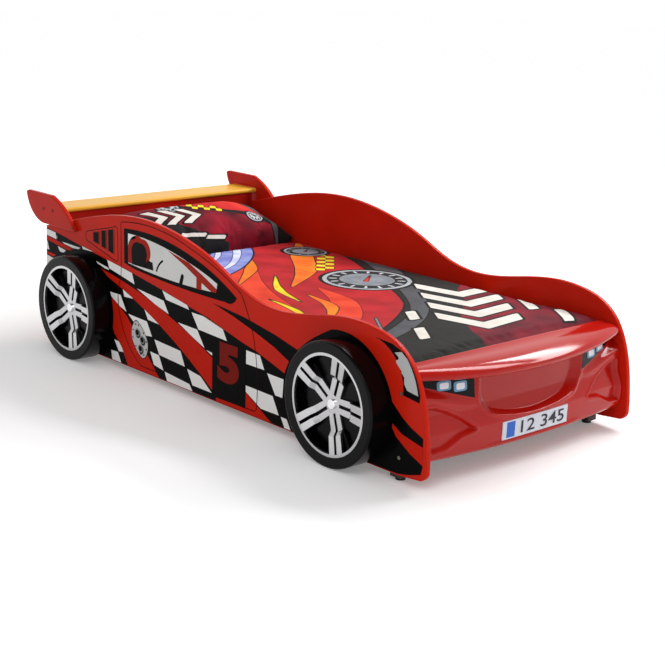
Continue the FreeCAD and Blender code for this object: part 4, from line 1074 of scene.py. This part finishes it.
seen = seen_ray(paper_tree)
spot = add(paper_tree, "ShaderNodeVectorMath", {0: add(paper_tree, "ShaderNodeTexCoord").outputs["Object"]},
           operation="LENGTH")
sweep = add(paper_tree, "ShaderNodeMapRange", {0: spot.outputs["Value"], 1: 1.4, 2: 4.0, 3: 0.20, 4: 0.52},
            interpolation_type="SMOOTHSTEP")
glow = add(paper_tree, "ShaderNodeEmission", {"Color": (1, 1, 1, 1), "Strength": sweep.outputs[0]})
both = add(paper_tree, "ShaderNodeAddShader", {0: paper_shader.outputs[0], 1: glow.outputs[0]})
pick = add(paper_tree, "ShaderNodeMixShader", {0: seen.outputs[0], 1: paper_shader.outputs[0],
                                               2: both.outputs[0]})
paper_tree.links.new(pick.outputs[0], paper_tree.nodes["Material Output"].inputs["Surface"])
floor_data.materials.append(paper)

world = bpy.data.worlds.new("pale_surround")
world.use_nodes = True
bpy.context.scene.world = world
sky = world.node_tree
surround_light = sky.nodes["Background"]
seen = seen_ray(sky)
way_up = add(sky, "ShaderNodeSeparateXYZ", {"Vector": add(sky, "ShaderNodeTexCoord").outputs["Generated"]})
ceiling = add(sky, "ShaderNodeMapRange", {0: way_up.outputs["Z"], 1: 0.34, 2: 0.9, 3: 1.0, 4: 0.15})
level = add(sky, "ShaderNodeMix", {"Factor": seen.outputs[0], "A": 0.50, "B": ceiling.outputs[0]})
sky.links.new(level.outputs[0], surround_light.inputs["Strength"])
surround_light.inputs["Color"].default_value = (1, 1, 1, 1)


def softbox(name, place, target, size, power):
    """A rectangular lamp turned to face a point."""
    lamp = bpy.data.lights.new(name, "AREA")
    lamp.shape = "RECTANGLE"
    lamp.size, lamp.size_y = size
    lamp.energy = power
    lamp_object = bpy.data.objects.new(name, lamp)
    bpy.context.scene.collection.objects.link(lamp_object)
    lamp_object.location = place
    away = Vector(place) - Vector(target)
    lamp_object.rotation_euler = away.to_track_quat("Z", "Y").to_euler()
    return lamp_object


softbox("far_softbox", (1.0, 3.5, 3.1), (0.9, 0.0, 0.3), (4.2, 0.7), 120)
softbox("high_softbox", (0.4, 2.3, 3.5), (1.0, -0.2, 0.3), (3.2, 0.7), 75)
softbox("key_softbox", (2.6, -3.4, 3.4), (0.2, -0.2, 0.2), (2.0, 1.6), 34)

turn, dip, tilt = 0.83349, 0.25912, 0.02909
forward = np.array([-math.sin(turn), math.cos(turn), 0])
right = np.array([math.cos(turn), math.sin(turn), 0])
up = np.array([0, 0, 1.0])
look = forward * math.cos(dip) - up * math.sin(dip)
lift = up * math.cos(dip) + forward * math.sin(dip)
cam_x = right * math.cos(tilt) + lift * math.sin(tilt)
cam_y = lift * math.cos(tilt) - right * math.sin(tilt)
view = bpy.data.cameras.new("photo_camera")
view.lens = 75.25
view.sensor_width = 36.0
view.clip_end = 200
camera = bpy.data.objects.new("photo_camera", view)
bpy.context.scene.collection.objects.link(camera)
camera.matrix_world = Matrix(((cam_x[0], cam_y[0], -look[0], 3.7329),
                              (cam_x[1], cam_y[1], -look[1], -3.2652),
                              (cam_x[2], cam_y[2], -look[2], 1.4979), (0, 0, 0, 1)))
bpy.context.scene.camera = camera
bpy.context.scene.view_settings.view_transform = "Standard"
